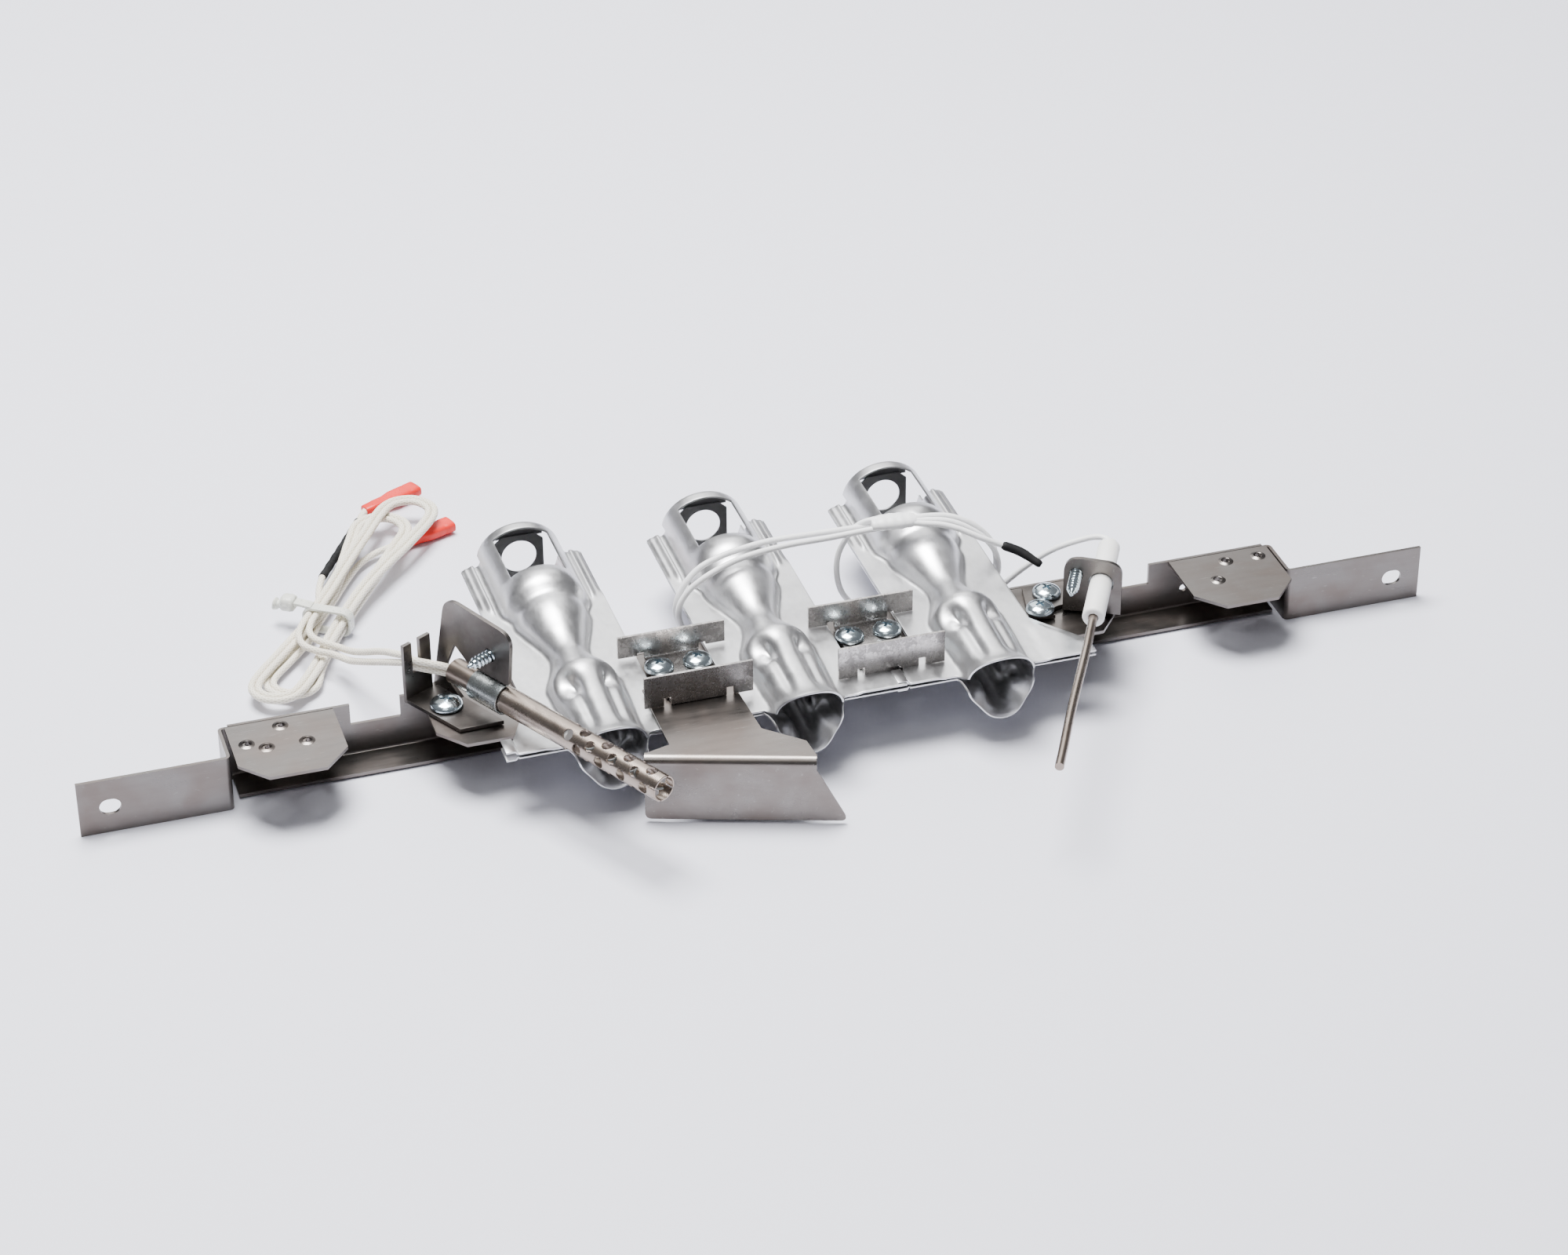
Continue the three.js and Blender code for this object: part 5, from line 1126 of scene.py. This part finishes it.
@dataclass
class Leads:
    """The sensor's silicone lead, the igniter's two braided leads in their hank, and what is on them."""

    braid: float = 1.25
    silicone: float = 1.1
    hank_from: tuple = (-165.5, 43.5)
    hank_to: tuple = (-101.2, 140.3)
    tie_at: float = 0.39
    layers: tuple = (-14.0, -16.55, -19.1)
    upper_terminal: tuple = (-110.6, 155.6, -18.8, 26.0)
    lower_terminal: tuple = (-104.7, 128.6, -19.2, 20.8)
    tail: tuple = (
        (-136.2, 112.0, -17.4), (-131.8, 119.4, -17.6), (-127.4, 126.8, -17.8), (-122.8, 134.6, -18.0),
        (-118.6, 141.8, -18.2), (-114.6, 148.6, -18.4), (-110.9, 154.8, -18.6))
    run_1: tuple = (
        (-113.3, -9.3, 13.1), (-116.1, -6.6, 13.4), (-121.0, -4.6, 14.4), (-125.9, -2.5, 15.4),
        (-128.4, 1.6, 15.2), (-130.4, 7.4, 12.8), (-132.2, 16.0, 8.6), (-134.4, 24.4, 4.0),
        (-136.6, 32.4, -0.8), (-138.6, 40.6, -5.4), (-140.2, 48.4, -9.2), (-141.2, 54.0, -11.6))
    run_2: tuple = (
        (-113.3, -9.3, 10.5), (-116.1, -6.6, 10.8), (-121.0, -4.6, 11.8), (-125.9, -2.5, 12.8),
        (-128.8, 1.4, 12.4), (-131.0, 7.0, 9.6), (-133.2, 15.9, 4.6), (-135.8, 25.4, -0.8),
        (-138.4, 35.1, -6.2), (-140.6, 43.0, -10.2))
    # in the hank's own frame: on to the hank, off it, and across to the lower terminal
    over_1: tuple = ((7.6, 25.4, -12.9), (2.6, 27.0, -13.0), (-1.4, 31.0, -13.4), (-3.6, 37.6, -13.9))
    over_2: tuple = ((12.0, 19.0, -12.6), (6.0, 19.6, -12.7), (0.0, 22.0, -12.9), (-4.4, 28.0, -13.3),
                     (-6.3, 36.0, -13.8))
    leave: tuple = ((-8.2, 56.0, -18.6), (-11.6, 65.0, -17.8))
    cross: tuple = ((-4.4, 60.0, -19.1), (-5.0, 76.0, -19.1), (-4.6, 88.0, -19.1), (-1.6, 97.0, -19.1),
                    (3.6, 104.5, -19.2), (5.4, 107.0, -19.2))
    sensor_run: tuple = (
        (130.2, -3.5, 13.6), (131.2, -1.2, 13.7), (130.4, 1.6, 13.9), (127.6, 3.3, 13.9), (120.0, 4.6, 12.6),
        (112.4, 7.4, 8.8), (104.6, 10.8, 2.0), (98.4, 13.4, -4.6), (92.0, 15.0, -11.2), (84.0, 16.2, -16.2),
        (70.0, 17.4, -18.6), (46.0, 18.4, -18.6), (22.0, 19.0, -18.6), (0.0, 19.4, -18.4),
        (-13.0, 19.8, -16.0), (-20.8, 20.2, -10.0), (-24.4, 20.4, -3.0), (-24.5, 20.6, 3.0),
        (-20.8, 20.9, 9.0), (-14.0, 21.0, 13.8), (-2.1, 22.2, 17.8), (15.5, 25.0, 18.4), (33.0, 25.4, 18.4),
        (52.0, 25.4, 19.0), (67.0, 24.9, 19.6), (78.0, 22.4, 18.8), (86.6, 19.6, 14.6), (92.8, 18.0, 8.4),
        (95.4, 17.4, 1.6), (95.2, 17.4, -4.4), (91.2, 18.4, -11.6), (83.0, 20.0, -17.6), (70.0, 21.4, -20.6),
        (46.0, 23.2, -20.6), (20.0, 24.2, -20.0), (0.0, 24.5, -18.6), (-13.0, 24.4, -16.0),
        (-21.0, 24.0, -10.0), (-24.6, 23.8, -3.2), (-24.7, 23.6, 3.0), (-21.4, 24.4, 9.6), (-15.6, 26.2, 14.2),
        (-7.1, 26.8, 17.4), (2.5, 28.3, 18.4), (12.0, 29.6, 18.6), (28.0, 29.4, 18.6), (42.0, 28.6, 18.8),
        (54.0, 28.0, 19.2), (67.0, 27.5, 19.6), (79.0, 25.4, 19.0), (87.8, 23.0, 15.0), (93.6, 21.6, 8.6),
        (95.8, 21.0, 1.8), (95.6, 21.2, -4.4), (91.4, 22.6, -11.4), (82.0, 24.0, -16.6), (68.0, 24.8, -17.8),
        (54.0, 25.2, -17.2), (44.4, 25.4, -13.2), (38.6, 25.8, -6.4), (36.8, 26.8, 1.0), (37.8, 28.6, 8.4),
        (41.6, 29.6, 14.8), (46.4, 29.0, 19.8), (52.0, 26.8, 21.8), (59.0, 24.0, 21.2), (67.0, 22.2, 20.0),
        (74.0, 20.2, 19.4), (80.0, 17.6, 18.0), (86.6, 14.3, 15.2), (91.4, 12.9, 13.0), (95.2, 11.9, 11.4))

    def hank_frame(self) -> Matrix:
        """The hank's own frame in the rail's frame: X across it, Y along it."""
        along = (Vector(self.hank_to) - Vector(self.hank_from)).normalized()
        turn = math.atan2(along.y, along.x) - math.pi / 2
        return Matrix.Translation((*self.hank_from, 0)) @ Matrix.Rotation(turn, 4, "Z")

    def turns(self, low: float, waist: float, high: float) -> list:
        """One lead's way through the hank, in the hank's frame.

        Args:
            low: half-width at the lower loop.
            waist: half-width at the tie.
            high: half-width at the upper loop.

        Returns:
            The points, from the tie's left side to the last pass through the tie.
        """
        length = (Vector(self.hank_to) - Vector(self.hank_from)).length

        def wide(y: float) -> float:
            """Half the hank's width at a place along it."""
            return waist + (low - waist) * ease(y, 40, 2) + (high - waist) * ease(y, 50, length)

        points = []
        for turn, (lift, shift, short) in enumerate(((1.0, 3.2, 2.0), (0.9, -3.6, -8.5))):
            top, below = self.layers[turn], self.layers[turn + 1]
            level = top + lift
            end = length + short
            for y in (46, 62, 80, 98):
                points.append((shift * ease(y, 60, length) - wide(y), y, top + lift * ease(y, 60, 100)))
            for a in (172, 138, 104, 76, 42, 8):
                t = math.radians(a)
                points.append((shift + high * math.cos(t), end + high * math.sin(t), level))
            for y in (98, 82, 66, 50, 34, 18):
                share = ease(y, 96, 20)
                points.append((shift * ease(y, 60, length) + wide(y), y, level + (below - level) * share))
            slip = (-1.3, -2.0) if turn == 0 else (1.2, 5.5)
            for a in (4, 38, 74, 106, 142, 176):
                t = math.radians(a)
                points.append((slip[0] + low * math.cos(t), slip[1] - low * math.sin(t) + 2, below))
            drift = 1.2 if turn else -1.2
            points += [(drift - wide(y), y, below) for y in (20, 34)]
        return points + [(-waist, 46, self.layers[2])]

    def lead(self, number: int, points: Sequence[Vector],
             replaced: Sequence[str]) -> None:
        """Args:
            number: 1 or 2.
            points: its route in the rail's frame.
            replaced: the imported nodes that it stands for.
        """
        path = smooth_path(points, 1.5)
        mesh = bmesh.new()
        add_tube(mesh, path, self.braid, 14)
        piece = finish_piece(f"igniter_lead_{number}_braid", mesh, Stuff.BRAID, replaced)

    def terminal(self, number: int, spot: tuple) -> Piece:
        """Builds an insulated push-on terminal: its vinyl cover, open at the mouth, and the cage for a blade."""
        x, y, z, degrees = spot
        place = Matrix.Translation((x, y, z)) @ Matrix.Rotation(math.radians(degrees), 4, "Z")
        mesh = bmesh.new()
        outside = [(0, 4.3, 3.7), (0.3, 4.7, 4.1), (4, 4.9, 4.2), (4.6, 5.1, 4.4), (9.6, 5.2, 4.2), (12.4, 6.9, 4.0),
                   (13.6, 7.4, 4.2), (20.0, 7.4, 4.2), (20.6, 7.1, 3.9), (21.2, 7.4, 4.2), (24.7, 7.4, 4.1),
                   (25, 7.1, 3.8)]
        inside = [(24.9, 6.5, 3.1), (16.0, 6.3, 2.9)]
        add_grid(mesh, rounded_rings(outside + inside), closed=True, capped=True)
        piece = finish_piece(f"lead_terminal_{number}_cover", mesh, Stuff.RED_VINYL, [f"lead_terminal_{number}"], place)
        cage = bmesh.new()
        walls = [(16.2, 5.9, 2.3), (23.6, 5.9, 2.3), (23.6, 5.0, 1.2), (17.0, 5.0, 1.2)]
        add_grid(cage, rounded_rings(walls, 8.0), closed=True, capped=True)
        finish_piece(f"lead_terminal_{number}_blade_cage", cage, Stuff.ZINC, place=place)
        return piece

    def tie(self) -> None:
        """Builds the nylon tie: a band round the hank's waist, its ratchet head and its curled tail."""
        at = self.hank_frame() @ Matrix.Translation(
            (0, (Vector(self.hank_to) - Vector(self.hank_from)).length * self.tie_at, 0))
        mesh = bmesh.new()
        half, z0, z1, round_by = 8.9, -21.1, -11.9, 3.0
        path = []
        for cx, cz, start in ((half, z0, -90), (half, z1, 0), (-half, z1, 90), (-half, z0, 180)):
            for k in range(7):
                a = math.radians(start + 15 * k)
                inner_x = cx - math.copysign(round_by, cx)
                inner_z = cz - math.copysign(round_by, cz + 16.5)
                path.append(Vector((inner_x + round_by * math.cos(a), 0, inner_z + round_by * math.sin(a))))
        path.append(path[0].copy())
        add_ribbon(mesh, path, Vector((0, 2.0, 0)), 1.0)
        neck = ((-6.0, 0.2, -11.6), (-8.6, 0.3, -11.3), (-11.4, 0.5, -11.2), (-13.6, 0.6, -11.2))
        add_ribbon(mesh, smooth_path(neck, 0.8), Vector((0, 2.0, 0)), 1.1)
        block = [(-18.2, 4.0, 3.6), (-17.9, 5.6, 5.0), (-17.0, 6.4, 5.8), (-14.4, 6.4, 5.8),
                 (-13.2, 5.8, 5.2), (-12.8, 4.2, 3.8)]
        head = add_grid(mesh, rounded_rings(block, 3.0), closed=True, capped=True)
        bmesh.ops.translate(mesh, vec=(0, 0.6, -12.0), verts=[v for ring in head for v in ring])
        tail = ((-17.6, 0.8, -13.0), (-19.8, 0.9, -13.6), (-21.8, 1.0, -13.4))
        add_tube(mesh, smooth_path(tail, 0.5), lambda t: 1.5 + 0.9 * ease(t, 0.4, 0.8) - 1.2 * ease(t, 0.9, 1.0), 16)
        piece = finish_piece("hank_tie_nylon", mesh, Stuff.NYLON, ["hank_tie"], at, sharp=50.0)
        break_edges(piece, 0.2, 50.0)

    def hank(self) -> None:
        """Builds both braided leads with their turns, their ends and the tie."""
        place = self.hank_frame()
        outer = carried(place, self.turns(9.5, 6.5, 10.7))
        inner = carried(place, self.turns(7.0, 4.0, 8.2))
        over_1, over_2, leave, cross = (carried(place, part) for part in (
            self.over_1, self.over_2, self.leave, self.cross))
        terminal_1 = self.terminal(1, self.upper_terminal)
        terminal_2 = self.terminal(2, self.lower_terminal)
        mesh = bmesh.new()
        covered = smooth_path(self.tail[:6], 1.0)
        add_tube(mesh, covered, lambda t: 1.5 + 0.08 * math.sin(t * 40) - 0.1 * ease(t, 0.97, 1.0), 18)
        sleeve = finish_piece("lead_sleeve_on_braid", mesh, Stuff.BLACK_SLEEVE)
        end = Vector(self.upper_terminal[:3])
        self.lead(1, points_of(self.run_1) + over_1 + inner + cross,
                  ["igniter_lead_1", "lead_hank"])
        last = [end + Vector((1.0, 1.6, 0.0))]
        self.lead(2, points_of(self.run_2) + over_2 + outer + leave + points_of(self.tail) + last,
                  ["igniter_lead_2", "igniter_lead_tail"])
        self.tie()

    def sensor_lead(self) -> None:
        """Builds the silicone lead round the burners, its wrap over three strands and its end sleeve."""
        path = smooth_path(self.sensor_run, 1.5)
        mesh = bmesh.new()
        add_tube(mesh, path, self.silicone, 16)
        piece = finish_piece("sensor_lead_silicone", mesh, Stuff.SILICONE, ["sensor_lead"])
        mesh = bmesh.new()
        end = smooth_path([(95.0, 12.2, 11.5), (95.5, 11.8, 11.3), (100.6, 8.6, 9.6), (106.6, 2.9, 6.2)], 0.6)
        add_tube(mesh, end, lambda t: 1.35 + 0.45 * ease(t, 0.0, 0.12) - 0.25 * ease(t, 0.55, 0.8)
                 - 0.5 * ease(t, 0.95, 1.0), 20, 0.9)
        sleeve = finish_piece("lead_sleeve_black", mesh, Stuff.BLACK_SLEEVE, ["lead_sleeve"])
        mesh = bmesh.new()
        wrap = smooth_path([(49.6, 26.6, 20.4), (54.0, 26.2, 20.5), (60.0, 25.6, 20.5), (66.0, 25.0, 20.4)], 0.5)
        add_tube(mesh, wrap, lambda t: 3.0 + 1.1 * math.sin(math.pi * t) ** 0.6 + 0.12 * math.sin(t * 31), 28, 0.62)
        cover = finish_piece("sensor_lead_wrap", mesh, Stuff.SILICONE)

    def build(self) -> None:
        """Builds all the leads."""
        self.sensor_lead()
        self.hank()


def main() -> None:
    """Builds the studio, the cords and then every piece of the assembly."""
    logging.basicConfig(level=logging.INFO, format="%(name)s: %(message)s")
    Studio().build()
    Leads().build()
    Rail().build()
    for i, x in enumerate(BURNERS_X):
        Burner(i + 1, x).build()
    Joints().build()
    Igniter().build()
    Sensor().build()


if __name__ == "__main__":
    main()
